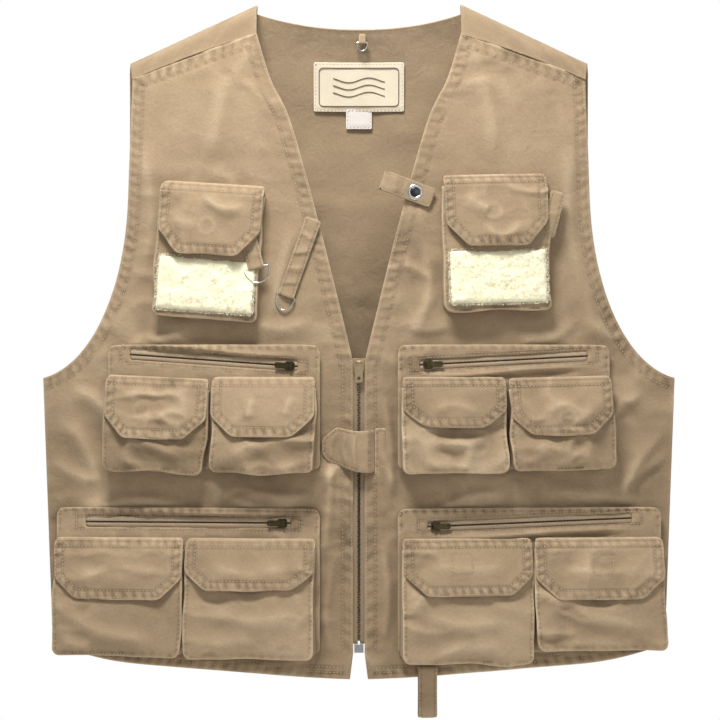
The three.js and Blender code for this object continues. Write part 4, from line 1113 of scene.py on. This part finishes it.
# ---------------------------------------------------------------- zipped pockets and their zips

# How far a zipped pocket's cloth stands out and its window's half width. Then for each kind of zip: how far
# out its teeth stand, their spacing, reach, half height and width share, its tape's near and far edge, and
# how far the tape rises at the teeth
ZIP_PANEL_OUT = 5.2
LIP = 4.7
COIL = {"out": 2.8, "pitch": 1.5, "tooth": 0.95, "half": 0.75, "share": 0.62,
        "tape": (0.7, 5.1), "lift": 0.9}
MOULDED = {"out": 0.0, "pitch": 2.3, "tooth": 1.35, "half": 0.9, "share": 0.62,
           "tape": (1.0, 9.0), "lift": 0.3}


def zip_pocket(name, hand, seed):
    """A flat pocket with a long window, its lips turned in beside the zip."""
    x_dir, out = WALL_X[hand], WALL_OUT[hand]
    origin = POCKETS[f"{name}_inner"].origin - out * (ZIP_PANEL_OUT + 0.1)
    solid = into(origin, x_dir, out, corners(f"{name}_zip_pocket"))
    low, high = solid.min(0), solid.max(0)
    chain = into(origin, x_dir, out, corners(f"{name}_zip_chain"))
    along = joint_place(f"{name}_zip_slide")[1]
    run = np.array([along @ x_dir, along @ UP])
    middle = (chain.min(0) + chain.max(0))[:2] / 2
    reach = np.abs((chain[:, :2] - middle) @ run).max()
    cross = np.array([-run[1], run[0]])
    window = outline([middle + run * a + cross * b for a, b in
                      ((-reach, -LIP), (reach, -LIP), (reach, LIP), (-reach, LIP))], round_by=2.0)
    inner, outer = low[0], high[0]
    top = high[1]
    loop = outline([(inner, low[1]), (outer, low[1]), (outer, 4), (outer, top - 5), (outer - 8, top - 1.0),
                    (outer - 60, top - 0.5), ((inner + outer) / 2, top - 0.4), (inner + 60, top - 0.5),
                    (inner + 8, top - 1.0), (inner, top - 5), (inner, 4)], corner=38, round_by=5)
    relief = Relief(seed, rough=0.5, rumple=0.6, rumple_size=36, crumple=0.9)
    rim = curve([(outer - 0.5, 4), (outer - 0.6, top - 6), (outer - 7, top - 1.1), (outer - 50, top - 0.6),
                 ((inner + outer) / 2, top - 0.5), (inner + 50, top - 0.6), (inner + 7, top - 1.1),
                 (inner + 0.6, top - 6), (inner + 0.5, 4)])
    relief.seam(rim, inset=(1.8,), pucker=0.5, pitch=9, band=5)
    frame_line = outline([middle + run * a + cross * b for a, b in
                          ((-reach - 11, -7.4), (reach + 11, -7.4), (reach + 11, 8.6), (-reach - 11, 8.6))],
                         round_by=2.0)
    relief.seam(closed(frame_line), inset=(0.2, 2.4), pucker=0.22, pitch=8, band=3)
    lip_low = middle - cross * 10.0
    lip = [lip_low + run * a for a in (-reach - 8, -reach * 0.4, reach * 0.3, reach + 8)]
    lip[1] = lip[1] - [0, 1.6]
    lip[2] = lip[2] + [0, 0.8]
    relief.fold(lip[::-1], 3.2, 2.6)
    lower = [p - [0, 4.2] for p in lip]
    relief.fold(lower, -2.0, 2.4)

    def place(uv, height):
        gap = nearest(uv, closed(window))[0]
        turn_in = 1.0 * np.exp(-(gap / 1.6) ** 2)
        return flat_place(origin, x_dir, out)(uv, ZIP_PANEL_OUT + height - turn_in)

    made = cloth(f"{name}_zip_pocket_cloth", loop, place, relief, TWILL, "root", step=2.4, holes=(window,),
                 thickness=1.0)
    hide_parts(f"{name}_zip_pocket")
    centre = origin + x_dir * middle[0] + UP * middle[1]
    zip_rows(f"{name}_zip", centre - along * reach, along, out, 2 * reach, COIL, TAPE, f"{name}_zip_chain")


def zip_rows(name, start, along, out, length, kind, tape_material, *nodes):
    """Two woven tapes and their interleaved teeth."""
    across = unit(np.cross(out, along))
    verts, faces, uvs = [], [], []
    for side in (-1, 1):
        near, far = kind["tape"]
        columns = np.array([near, near + 0.5, (near + far) / 2, far])
        rise = np.array([kind["lift"] - 0.3, kind["lift"], kind["lift"] * 0.6, 0.0])
        steps = np.linspace(0, length, int(length / 3) + 1)
        base = len(verts)
        for s in steps:
            for c, r in zip(columns, rise):
                verts.append(start + along * s + across * side * c + out * (kind["out"] + r))
                uvs.append((s, side * c))
        for i in range(len(steps) - 1):
            for k in range(3):
                a = base + i * 4 + k
                quad = [a, a + 4, a + 5, a + 1]
                faces.append(quad if side > 0 else quad[::-1])
    verts = np.array(verts)
    normal = vertex_normals(verts, faces)
    if (normal @ out).mean() < 0:
        faces = [f[::-1] for f in faces]
    verts, faces = thicken(verts, faces, 0.5)
    tape = make_object(f"{name}_tape", verts, faces, tape_material, "root", np.zeros(len(verts)),
                       np.vstack([uvs, uvs]))
    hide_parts(*nodes)
    verts, faces = [], []
    count = int(length / kind["pitch"])
    profile = np.array([(-0.5, -1), (0.5, -1), (0.5, 0.6), (0.25, 1), (-0.25, 1), (-0.5, 0.6)])
    for i in range(count):
        side = 1 if i % 2 else -1
        at = start + along * (i + 0.5) * kind["pitch"]
        base = len(verts)
        for reach in (-0.45, kind["tooth"]):
            for a, b in profile:
                verts.append(at + along * a * kind["pitch"] * kind["share"] * (1 if reach < 0 else 0.8)
                             + across * side * reach + out * (kind["out"] + b * kind["half"]))
        for k in range(6):
            faces.append([base + k, base + (k + 1) % 6, base + 6 + (k + 1) % 6, base + 6 + k])
        faces.append([base + k for k in reversed(range(6))])
        faces.append([base + 6 + k for k in range(6)])
    teeth = make_object(f"{name}_teeth", verts, faces, TEETH, "root", smooth=False)


for number, (hand, row) in enumerate((h, r) for h in ("right", "left") for r in ("mid", "lower")):
    zip_pocket(f"{hand}_{row}", hand, 300 + 9 * number)

rows_low, rows_high = box("zip_stringer_left")
zip_y = (rows_low[1] + rows_high[1]) / 2
zip_rows("main_zip", np.array([0, zip_y, rows_high[2]]), -UP, np.array([0, -1.0, 0]),
         rows_high[2] - rows_low[2], MOULDED, MAIN_TAPE, "zip_stringer_left", "zip_stringer_right")


def finish_cad(node, material, bevel=0.25, smooth=0):
    """A CAD piece that is shown, with eased edges and its own finish."""
    obj = frame["nodes"][node]
    obj.data.materials.clear()
    obj.data.materials.append(material)
    obj.data.polygons.foreach_set("use_smooth", [True] * len(obj.data.polygons))
    weld = obj.modifiers.new("weld", "WELD")
    weld.merge_threshold = 0.00001
    if smooth:
        round_off = obj.modifiers.new("round", "SUBSURF")
        round_off.levels = round_off.render_levels = smooth
    else:
        ease = obj.modifiers.new("ease", "BEVEL")
        ease.width = bevel * MM
        ease.segments = 2
        ease.limit_method = "ANGLE"
        obj.modifiers.new("normals", "WEIGHTED_NORMAL")


for name in ("right_mid", "right_lower", "left_mid", "left_lower"):
    finish_cad(f"{name}_zip_slider", BRONZE, 0.3)
    finish_cad(f"{name}_zip_pull", BRONZE, 0.2)
finish_cad("zip_slider", BRASS, 0.4)
finish_cad("zip_pull", BRASS, 0.3)
finish_cad("zip_retainer_box", NICKEL, 0.4)
for ring in ("chest_ring", "neck_ring", "hang_ring"):
    finish_cad(ring, NICKEL, smooth=2)

# ---------------------------------------------------------------- fleece patches


def fleece(name, seed, pressed):
    """A pad of pile: a lumpy base under short curled tufts that overhang its edge."""
    hand = name.split("_")[0]
    points = corners(name)
    centre = points.mean(0)
    pocket = POCKETS[f"{hand}_chest"]
    up = unit(np.cross(pocket.out, pocket.x_dir))
    tilt = math.atan(pocket.slope)
    out = unit(pocket.out * math.cos(tilt) + up * math.sin(tilt))
    flat = into(centre, pocket.x_dir, out, points)
    low, high = flat.min(0), flat.max(0)
    loop = outline([(low[0], low[1]), (high[0], low[1]), (high[0], high[1]), (low[0], high[1])],
                   step=2.0, round_by=3)
    place = flat_place(centre, pocket.x_dir, out)

    def full(uv):
        """How much of its height the pile keeps: it is pressed flat under the ring's tab."""
        beside = np.clip((high[0] - 14 - uv[:, 0]) / 3, 0, 1)
        below = np.clip((high[1] - 24 - uv[:, 1]) / 3, 0, 1)
        return np.maximum(np.maximum(beside, below), 0.0 if pressed else 1.0)

    def rise(uv, gap):
        body = (high[2] - low[2] - 1.6) * (1 - np.exp(-(gap + 0.2) / 1.6))
        lumps = 0.7 * noise(uv, 9, seed) + 0.5 * noise(uv, 4, seed + 1) + 0.3 * noise(uv, 2.2, seed + 2)
        return low[2] + body * (0.6 + 0.4 * full(uv)) + lumps * (0.3 + 0.7 * full(uv)), lumps

    uv, faces = flat_mesh(loop, 1.6, rings=(1.0, 2.4))
    gap = nearest(uv, closed(loop))[0]
    height, lumps = rise(uv, gap)
    verts = place(uv, height)
    verts, faces = thicken(verts, faces, 1.5)
    # The pad is painted darker in the hollows between its lumps and on its back, a painted shade.
    shade = np.concatenate([0.35 + 0.3 * lumps, np.full(len(uv), 0.2)])
    pad = make_object(f"{name}_pile", verts, faces, FLEECE, "root", shade)
    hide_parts(name)
    rng = np.random.default_rng(seed)
    cells = rng.uniform(low[:2], high[:2], (2200, 2))
    cells = cells[inside(cells, loop)]
    border = resample(closed(loop), 0.35)
    border = border + rng.normal(0, 0.5, border.shape)
    roots = np.vstack([cells, border])
    gap = nearest(roots, closed(loop))[0]
    foot = place(roots, rise(roots, gap)[0] - 0.3)
    middle = (low[:2] + high[:2]) / 2
    outward = (roots - middle) / np.maximum(high[:2] - middle, 1)
    near = np.clip(1 - gap / 3.0, 0, 1)[:, None]
    lean = rng.normal(0, 0.55, roots.shape) + outward * near * 1.1
    reach = rng.uniform(0.7, 1.3, len(roots)) * (1 + 0.7 * near[:, 0]) * (0.45 + 0.55 * full(roots))
    sideways = lean[:, :1] * pocket.x_dir + lean[:, 1:] * up
    direction = sideways + out * (0.9 - 0.5 * near)
    direction /= np.linalg.norm(direction, axis=1, keepdims=True)
    curl = np.cross(direction, rng.normal(0, 1, direction.shape))
    curl /= np.maximum(np.linalg.norm(curl, axis=1, keepdims=True), 1e-6)
    other = np.cross(direction, curl)
    verts, faces, tone = [], [], []
    # Each tuft is painted darker towards its root, a painted shade.
    for share, wide in ((0.0, 0.42), (0.5, 0.36), (0.85, 0.2)):
        core = foot + direction * (reach * share)[:, None] + curl * (0.7 * share ** 2 * reach)[:, None] * 0.6
        for c in range(3):
            a = 2 * math.pi * c / 3
            verts.append(core + (other * math.cos(a) + curl * math.sin(a)) * wide)
            tone.append(np.full(len(foot), 0.1 + 0.4 * share))
    verts.append(foot + direction * reach[:, None] + curl * (0.45 * reach)[:, None])
    tone.append(np.full(len(foot), 0.6))
    verts = np.stack(verts, 1)
    tone = np.stack(tone, 1)
    for n in range(len(foot)):
        b = n * 10
        for level in (0, 3):
            for c in range(3):
                near, far = b + level + c, b + level + (c + 1) % 3
                faces.append([near, far, far + 3, near + 3])
        for c in range(3):
            faces.append([b + 6 + c, b + 6 + (c + 1) % 3, b + 9])
        faces.append([b + 2, b + 1, b])
    tufts = make_object(f"{name}_tufts", verts.reshape(-1, 3), faces, FLEECE, "root", tone.reshape(-1))


fleece("right_fleece_patch", 401, True)
fleece("left_fleece_patch", 411, False)

# ---------------------------------------------------------------- tabs

PINCH = 6


def strap(name, node, body, place, width, length, seed, folds=(), rows=True, ends=2.5):
    """A flat strap along v = 0 to -length, stitched along both edges, with place(uv, height) bending it."""
    half = width / 2
    loop = outline([(-half, 0), (-half, -length), (half, -length), (half, 0)], step=1.6, round_by=ends)
    relief = Relief(seed, rough=0.3, rumple=0.25, rumple_size=14)
    if rows:
        left = resample(np.array([(-half, -0.5), (-half, 0.5 - length)]), 1.5)
        right = resample(np.array([(half, 0.5 - length), (half, -0.5)]), 1.5)
        relief.seam(left, inset=(1.6,), pucker=0.22, pitch=7, band=3)
        relief.seam(right, inset=(1.6,), pucker=0.22, pitch=7, band=3)
    for points, height, wide in folds:
        relief.fold(points, height, wide)
    made = cloth(name, loop, place, relief, TWILL, body, step=1.7, thickness=0.75, rings=(0.6,))
    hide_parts(node)


def round_bar(origin, x_dir, out, drop, radius, gap):
    """Down the front of a strap, round a bar and up behind it. The bar is `drop` below the origin."""
    up = unit(np.cross(out, x_dir))

    def place(uv, height):
        s = -uv[:, 1]
        past = np.clip(s - drop, 0, math.pi * radius)
        angle = past / radius
        over = np.maximum(s - drop - math.pi * radius, 0)
        pinch = np.clip((drop - s) / PINCH, 0, 1)
        rear = np.clip(over / PINCH, 0, 1)
        front = radius + (gap - radius) * pinch ** 0.7
        behind = radius + (gap - radius) * rear ** 0.7
        reach = np.where(s < drop, front, np.where(over > 0, behind, radius)) + height
        level = -np.minimum(s, drop) + over
        return (origin + uv[:, :1] * x_dir + (level - reach * np.sin(angle))[:, None] * up
                + (reach * np.cos(angle))[:, None] * out)

    return place


BAR_RADIUS = 1.9
TAB_GAP = 0.85
neck_hinge, neck_axis = joint_place("neck_tab_swing")
neck_out = WALL_OUT["right"]
neck_bar = joint_place("neck_ring_swing")[0]
neck_drop = np.linalg.norm(neck_bar - neck_hinge)
neck_place = round_bar(neck_hinge, -neck_axis, neck_out, neck_drop, BAR_RADIUS, TAB_GAP)
CREASES = [([(-9, -14), (9, -19)], 1.3, 3), ([(9, -28), (-9, -37)], 1.6, 3), ([(-9, -50), (9, -45)], 1.4, 3),
           ([(9, -59), (-9, -65)], 1.2, 2.5)]
strap("neck_tab_cloth", "neck_tab", "neck_tab", neck_place, 15, neck_drop * 2 - 4, 501, CREASES)
chest_bar, chest_axis = joint_place("chest_ring_swing")
chest_up = unit(np.cross(WALL_OUT["right"], -chest_axis))
tab_length = 34.0
chest_place = round_bar(chest_bar + chest_up * tab_length, -chest_axis, WALL_OUT["right"], tab_length,
                        BAR_RADIUS, TAB_GAP)
strap("chest_ring_tab_cloth", "chest_ring_tab", "root", chest_place, 15, tab_length * 2, 511,
      [([(-8, -20), (8, -23)], 0.5, 3)])


TAB_TURN = 14.4
points = corners("left_chest_tab")
turn = math.radians(TAB_TURN)
tab_x = unit(math.cos(turn) * WALL_X["left"] - math.sin(turn) * UP)
tab_out = WALL_OUT["left"]
tab_flat = into(points.mean(0), tab_x, tab_out, points)
tab_top = tab_flat[:, 1].max()
tab_half = tab_flat[:, 0].max()
origin = points.mean(0) + unit(np.cross(tab_out, tab_x)) * tab_top


def plain_place(uv, height):
    arch = 2.2 * np.sin(math.pi * np.clip(-uv[:, 1] / (2 * tab_top), 0, 1))
    return flat_place(origin, tab_x, tab_out)(uv, height + 0.4 + arch)


strap("left_chest_tab_cloth", "left_chest_tab", "root", plain_place, 2 * tab_half, 2 * tab_top, 521,
      [([(-8, -22), (8, -19)], 0.7, 3)])

# The snap tab: strap, fold, inner layer and cap
snap_hinge, snap_axis = joint_place("snap_tab_open")
snap_out = WALL_OUT["left"]
snap_x = unit(np.cross(snap_axis, snap_out))
snap_points = into(snap_hinge, snap_x, snap_out, corners("snap_tab"))
snap_reach = np.abs(snap_points[:, 0]).max()
snap_sign = np.sign(snap_points[np.abs(snap_points[:, 0]).argmax(), 0])
along_tab = snap_x * snap_sign
snap_half = np.abs(snap_points[:, 1]).max()


def tab_place(origin, forward, out, rise):
    """Cloth whose length runs along `forward` (its -v) from the origin."""
    aside = unit(np.cross(forward, out))

    def place(uv, height):
        return (origin - uv[:, 1:2] * forward + uv[:, :1] * aside
                + (rise(uv) + np.asarray(height))[:, None] * out)

    return place


def snap_rise(uv):
    s = -uv[:, 1]
    return 0.5 + 1.6 * np.exp(-((s - 10) / 8) ** 2) + 0.8 * np.clip((s - 38) / 10, 0, 1) ** 2


strap("snap_tab_cloth", "snap_tab", "snap_tab", tab_place(snap_hinge, along_tab, snap_out, snap_rise),
      2 * snap_half, snap_reach, 531, [([(-9, -8), (9, -14)], 0.9, 3), ([(-9, -20), (4, -22)], 0.6, 3)])


def base_place(uv, height):
    s = -uv[:, 1]
    bend = np.clip(s / 6.0, 0, 1) * math.pi
    level = -2.6 * (1 - np.cos(bend))
    forward = np.where(s < 6, -1.4 * np.sin(bend), s - 6)
    aside = unit(np.cross(along_tab, snap_out))
    reach = 0.3 + level - 0.45 * np.asarray(height) * np.sign(s - 3)
    return snap_hinge + forward[:, None] * along_tab + uv[:, :1] * aside + reach[:, None] * snap_out


strap("snap_tab_base_cloth", "snap_tab_base", "root", base_place, 2 * snap_half - 0.6, 46, 541, rows=False)


def lathe(name, centre, axis, profile, material, body, segments=40):
    """A turned piece from (radius, height) points, closed on its axis."""
    axis = unit(axis)
    aside = unit(np.cross(axis, UP if abs(axis[2]) < 0.9 else np.array([1.0, 0, 0])))
    other = np.cross(axis, aside)
    verts = [centre + axis * profile[0][1]]
    angles = 2 * math.pi * np.arange(segments) / segments
    for r, h in profile[1:-1]:
        for a in angles:
            verts.append(centre + axis * h + (aside * math.cos(a) + other * math.sin(a)) * r)
    verts.append(centre + axis * profile[-1][1])
    faces = []
    count = len(profile) - 2
    for k in range(segments):
        n = (k + 1) % segments
        faces.append([0, 1 + n, 1 + k])
        for row in range(count - 1):
            b = 1 + row * segments
            faces.append([b + k, b + n, b + segments + n, b + segments + k])
        last = 1 + (count - 1) * segments
        faces.append([last + k, last + n, len(verts) - 1])
    return make_object(name, verts, faces, material, body)


cap_low, cap_high = box("snap_cap")
cap_centre = (cap_low + cap_high) / 2 - snap_out * (cap_high[1] - cap_low[1]) * 0.5
cap = lathe("snap_cap_ring", cap_centre, snap_out,
            [(0, 0.0), (7.4, 0.0), (7.6, 0.5), (7.3, 1.2), (6.5, 1.75), (5.6, 1.9), (4.9, 1.7), (4.6, 1.3),
             (0, 1.2)], NICKEL, "snap_tab")
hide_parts("snap_cap")
centre_dome = lathe("snap_cap_centre", cap_centre + snap_out * 1.1, snap_out,
                    [(0, -0.2), (4.5, -0.2), (4.5, 0.35), (3.6, 0.7), (2.2, 0.92), (0.8, 1.0), (0, 1.0)],
                    BLACK, "snap_tab")

# The waist tab: a pointed flap of cloth over the zip, on an upright fold
waist_hinge, _ = joint_place("waist_tab_open")
REACH = waist_hinge[0] - box("waist_tab")[0][0]


def waist_place(uv, height):
    x, z = uv[:, 0], uv[:, 1]
    arch = 6.0 * np.clip(-x / 5, 0, 1) * np.clip((x + 31) / 9, 0, 1)
    arch = np.where((x < -5) & (x > -22), 6.0, arch)
    return np.stack([waist_hinge[0] + x, waist_hinge[1] - arch - 0.2 - height, waist_hinge[2] + z], 1)


waist_loop = outline([(0.4, 2), (-17, 1), (-34, 4.6), (-REACH, -6), (-REACH, -20), (-43, -26), (-16, -36),
                      (0.4, -37)], step=1.6, corner=25, round_by=2.5)
waist = Relief(551, rough=0.4, rumple=0.5, rumple_size=16)
waist.fold([(-17, 2), (-18, -18), (-16, -37)], 1.8, 2.6).fold([(-24, 3), (-28, -16), (-23, -33)], 1.6, 2.4)
# The patch near the tab's point is painted shade.
waist.fold([(-33, 0), (-39, -12), (-37, -27)], 1.3, 2.6).paint_shading([(-40, -4), (-30, -28)], -0.25, 12)
waist_rim = waist_loop[waist_loop[:, 0] < -14]
jump = int(np.argmax(np.linalg.norm(waist_rim - np.roll(waist_rim, 1, 0), axis=1)))
waist.seam(np.roll(waist_rim, -jump, 0), inset=(1.8,), pucker=0.35, pitch=7, band=3.5)
waist.seam(resample(np.array([(-3.5, -36), (-3.5, 1)]), 2), inset=(0.5,), pucker=0.2, pitch=7, band=2)
made = cloth("waist_tab_cloth", waist_loop, waist_place, waist, TWILL, "waist_tab", step=1.7)
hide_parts("waist_tab")

WAIST_BASE = 13.0
base_loop = outline([(0.6, 3.5), (0.6, -39), (WAIST_BASE, -39), (WAIST_BASE, 3.5)], step=1.6, round_by=1.2)
base_relief = Relief(557, rough=0.3, rumple=0.3, rumple_size=14)
base_relief.seam(closed(base_loop), inset=(1.9,), pucker=0.3, pitch=7, band=3)


def waist_base_place(uv, height):
    flat = on_front(uv + waist_hinge[[0, 2]], np.asarray(height) + 1.3)
    flat[:, 1] = np.minimum(flat[:, 1], waist_hinge[1] + 0.8 - height)
    return flat


base = cloth("waist_tab_base", base_loop, waist_base_place, base_relief, TWILL, "root", step=1.7)

# The rod-holder loop: one strap round a narrow stadium
loop_low, loop_high = box("rod_loop")
loop_hinge, loop_axis = joint_place("rod_loop_swing")
loop_x, loop_out = -loop_axis, WALL_OUT["left"]
LOOP_RADIUS = 4.3
straight = (loop_high[2] - loop_low[2]) - 2 * 5.0
loop_half = np.abs(into(loop_hinge, loop_x, loop_out, corners("rod_loop"))[:, 0]).max()
round_length = math.pi * LOOP_RADIUS


def loop_place(uv, height):
    """-v runs from the top of the fold down the front, round the bottom and up the back."""
    s = -uv[:, 1] - round_length / 2
    down = np.clip(s, 0, straight)
    bottom = np.clip(s - straight, 0, round_length) / LOOP_RADIUS
    back = np.clip(s - straight - round_length, 0, straight)
    over = np.clip(s - 2 * straight - round_length, 0, None) / LOOP_RADIUS
    first = np.clip(-s, 0, None) / LOOP_RADIUS
    angle = bottom + over - first
    pinch = 1 - 0.35 * np.sin(math.pi * np.clip((down - back) / straight, 0, 1))
    reach = LOOP_RADIUS * pinch + np.asarray(height)
    level = -down + back
    place = loop_hinge + uv[:, :1] * loop_x
    place = place + (level - reach * np.sin(angle))[:, None] * UP
    return place + (reach * np.cos(angle))[:, None] * loop_out


strap("rod_loop_cloth", "rod_loop", "rod_loop", loop_place, 2 * loop_half,
      2 * (straight + round_length) - 0.5, 561, [([(-9, -34), (9, -30)], 0.6, 3)], ends=0.4)

# ---------------------------------------------------------------- label and hanging loop

label_low, label_high = box("neck_label")
TAG_DROP = 16.0
label_half = label_high[0]
split = label_low[2] + TAG_DROP


def label_place(uv, height):
    x, z = uv[:, 0], uv[:, 1]
    wave = 0.35 * noise(uv, 18, 61)
    return np.stack([x, depth_at(x, z) - CLOTH - 0.7 - wave - height, z], 1)


def label_piece(name, x0, x1, z0, z1, material, seed):
    relief = Relief(seed, rough=0.12, rumple=0.25, rumple_size=20)
    loop = outline([(x0, z1), (x0, z0), (x1, z0), (x1, z1)], step=1.5, round_by=1.0)
    relief.seam(closed(loop), inset=(1.4,), pucker=0.15, pitch=6, band=2)
    made = cloth(name, loop, label_place, relief, material, "root", step=2.2, thickness=0.4, rings=(0.6,),
                 edge=0.2)
    return made


label = label_piece("neck_label_cloth", -label_half, label_half, split, label_high[2], LABEL, 571)
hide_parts("neck_label")
label_piece("size_tag", -12, 12, label_low[2], split + 2.0, TAG, 581)


def embroidery(name, lines, radius=0.42):
    """Raised lines of plain stitching on the label."""
    verts, faces = [], []
    for line in lines:
        path = label_place(line, np.full(len(line), 0.45))
        along = np.gradient(path, axis=0)
        along /= np.linalg.norm(along, axis=1, keepdims=True)
        aside = np.cross(along, [0, -1.0, 0])
        base = len(verts)
        for p, s in zip(path, aside):
            for k in range(5):
                a = 2 * math.pi * k / 5
                verts.append(p + radius * (s * math.cos(a) + np.array([0, -1.0, 0]) * math.sin(a)))
        for i in range(len(path) - 1):
            for k in range(5):
                a, b = base + i * 5 + k, base + i * 5 + (k + 1) % 5
                faces.append([a, b, b + 5, a + 5])
        faces.append([base + k for k in reversed(range(5))])
        faces.append([base + (len(path) - 1) * 5 + k for k in range(5)])
    return make_object(name, verts, faces, BORDER, "root")


mid_z = (split + label_high[2]) / 2
border_x, border_z = label_half - 5, (label_high[2] - split) / 2 - 5
border = outline([(-border_x, mid_z + border_z), (-border_x, mid_z - border_z), (border_x, mid_z - border_z),
                  (border_x, mid_z + border_z)], step=1.5, round_by=4)
waves = [curve([(x, mid_z + dz + 2.2 * math.sin(x / 6.0)) for x in np.linspace(-24, 24, 17)], 1.2)
         for dz in (-6.5, 0, 6.5)]
embroidery("label_embroidery", [closed(border), *waves])

hang_bar = joint_place("hang_ring_swing")[0]
hang_low, hang_high = box("hang_ring_tab")
hang_drop = hang_high[2] - hang_bar[2]
hang_place = round_bar(hang_bar + UP * hang_drop, np.array([1.0, 0, 0]), np.array([0, -1.0, 0]), hang_drop,
                       BAR_RADIUS, 0.8)
strap("hang_ring_tab_cloth", "hang_ring_tab", "root", hang_place, hang_high[0] - hang_low[0], 2 * hang_drop,
      591, rows=False, ends=0.6)

# ---------------------------------------------------------------- thread, light and camera

for body, runs in list(stitches.items()):
    thread_mesh(body, runs, THREADS)

AMBIENT = 0.34
world = bpy.data.worlds.new("white")
world.use_nodes = True
sky = world.node_tree
seen = sky.nodes.new("ShaderNodeLightPath")
strength = sky.nodes.new("ShaderNodeMapRange")
strength.inputs["To Min"].default_value = AMBIENT
sky.links.new(seen.outputs["Is Camera Ray"], strength.inputs["Value"])
sky.links.new(strength.outputs[0], sky.nodes["Background"].inputs["Strength"])
sky.nodes["Background"].inputs["Color"].default_value = (1, 1, 1, 1)
bpy.context.scene.world = world
bpy.context.scene.view_settings.view_transform = "Standard"


def lamp(name, place, target, size, power):
    light = bpy.data.lights.new(name, "AREA")
    light.shape = "RECTANGLE"
    light.size, light.size_y = size
    light.energy = power
    obj = bpy.data.objects.new(name, light)
    obj.location = place
    obj.rotation_euler = (Vector(target) - Vector(place)).to_track_quat("-Z", "Y").to_euler()
    bpy.context.scene.collection.objects.link(obj)


lamp("key", (-0.22, -0.7, 0.95), (0, 0, -0.3), (0.45, 0.3), 28)
lamp("fill", (0.9, -1.6, 0.0), (0, 0, -0.35), (1.0, 1.0), 4)
lamp("back", (0.5, 1.5, 0.9), (0, 0, -0.35), (1.2, 1.2), 32)

FLOOR = -0.9
FLOOR_RADIUS = 1.2
bpy.ops.mesh.primitive_circle_add(vertices=96, radius=FLOOR_RADIUS, fill_type="NGON", location=(0, 0, FLOOR))
floor = bpy.context.object
floor.name = "floor"
pale = bpy.data.materials.new("pale_floor")
pale.use_nodes = True
pale.node_tree.nodes["Principled BSDF"].inputs["Base Color"].default_value = (0.8, 0.8, 0.79, 1)
pale.node_tree.nodes["Principled BSDF"].inputs["Roughness"].default_value = 0.9
floor.data.materials.append(pale)

VIEW_DISTANCE = 2.35
FIELD = 0.664
EYE_X = 0.001
EYE_HEIGHT = -0.3275
camera = bpy.data.cameras.new("camera")
camera.sensor_width = 36
camera.lens = 36 * VIEW_DISTANCE / FIELD
camera.clip_end = 50
eye = bpy.data.objects.new("camera", camera)
eye.location = (EYE_X, -VIEW_DISTANCE, EYE_HEIGHT)
eye.rotation_euler = (math.radians(90), 0, 0)
bpy.context.scene.collection.objects.link(eye)
bpy.context.scene.camera = eye
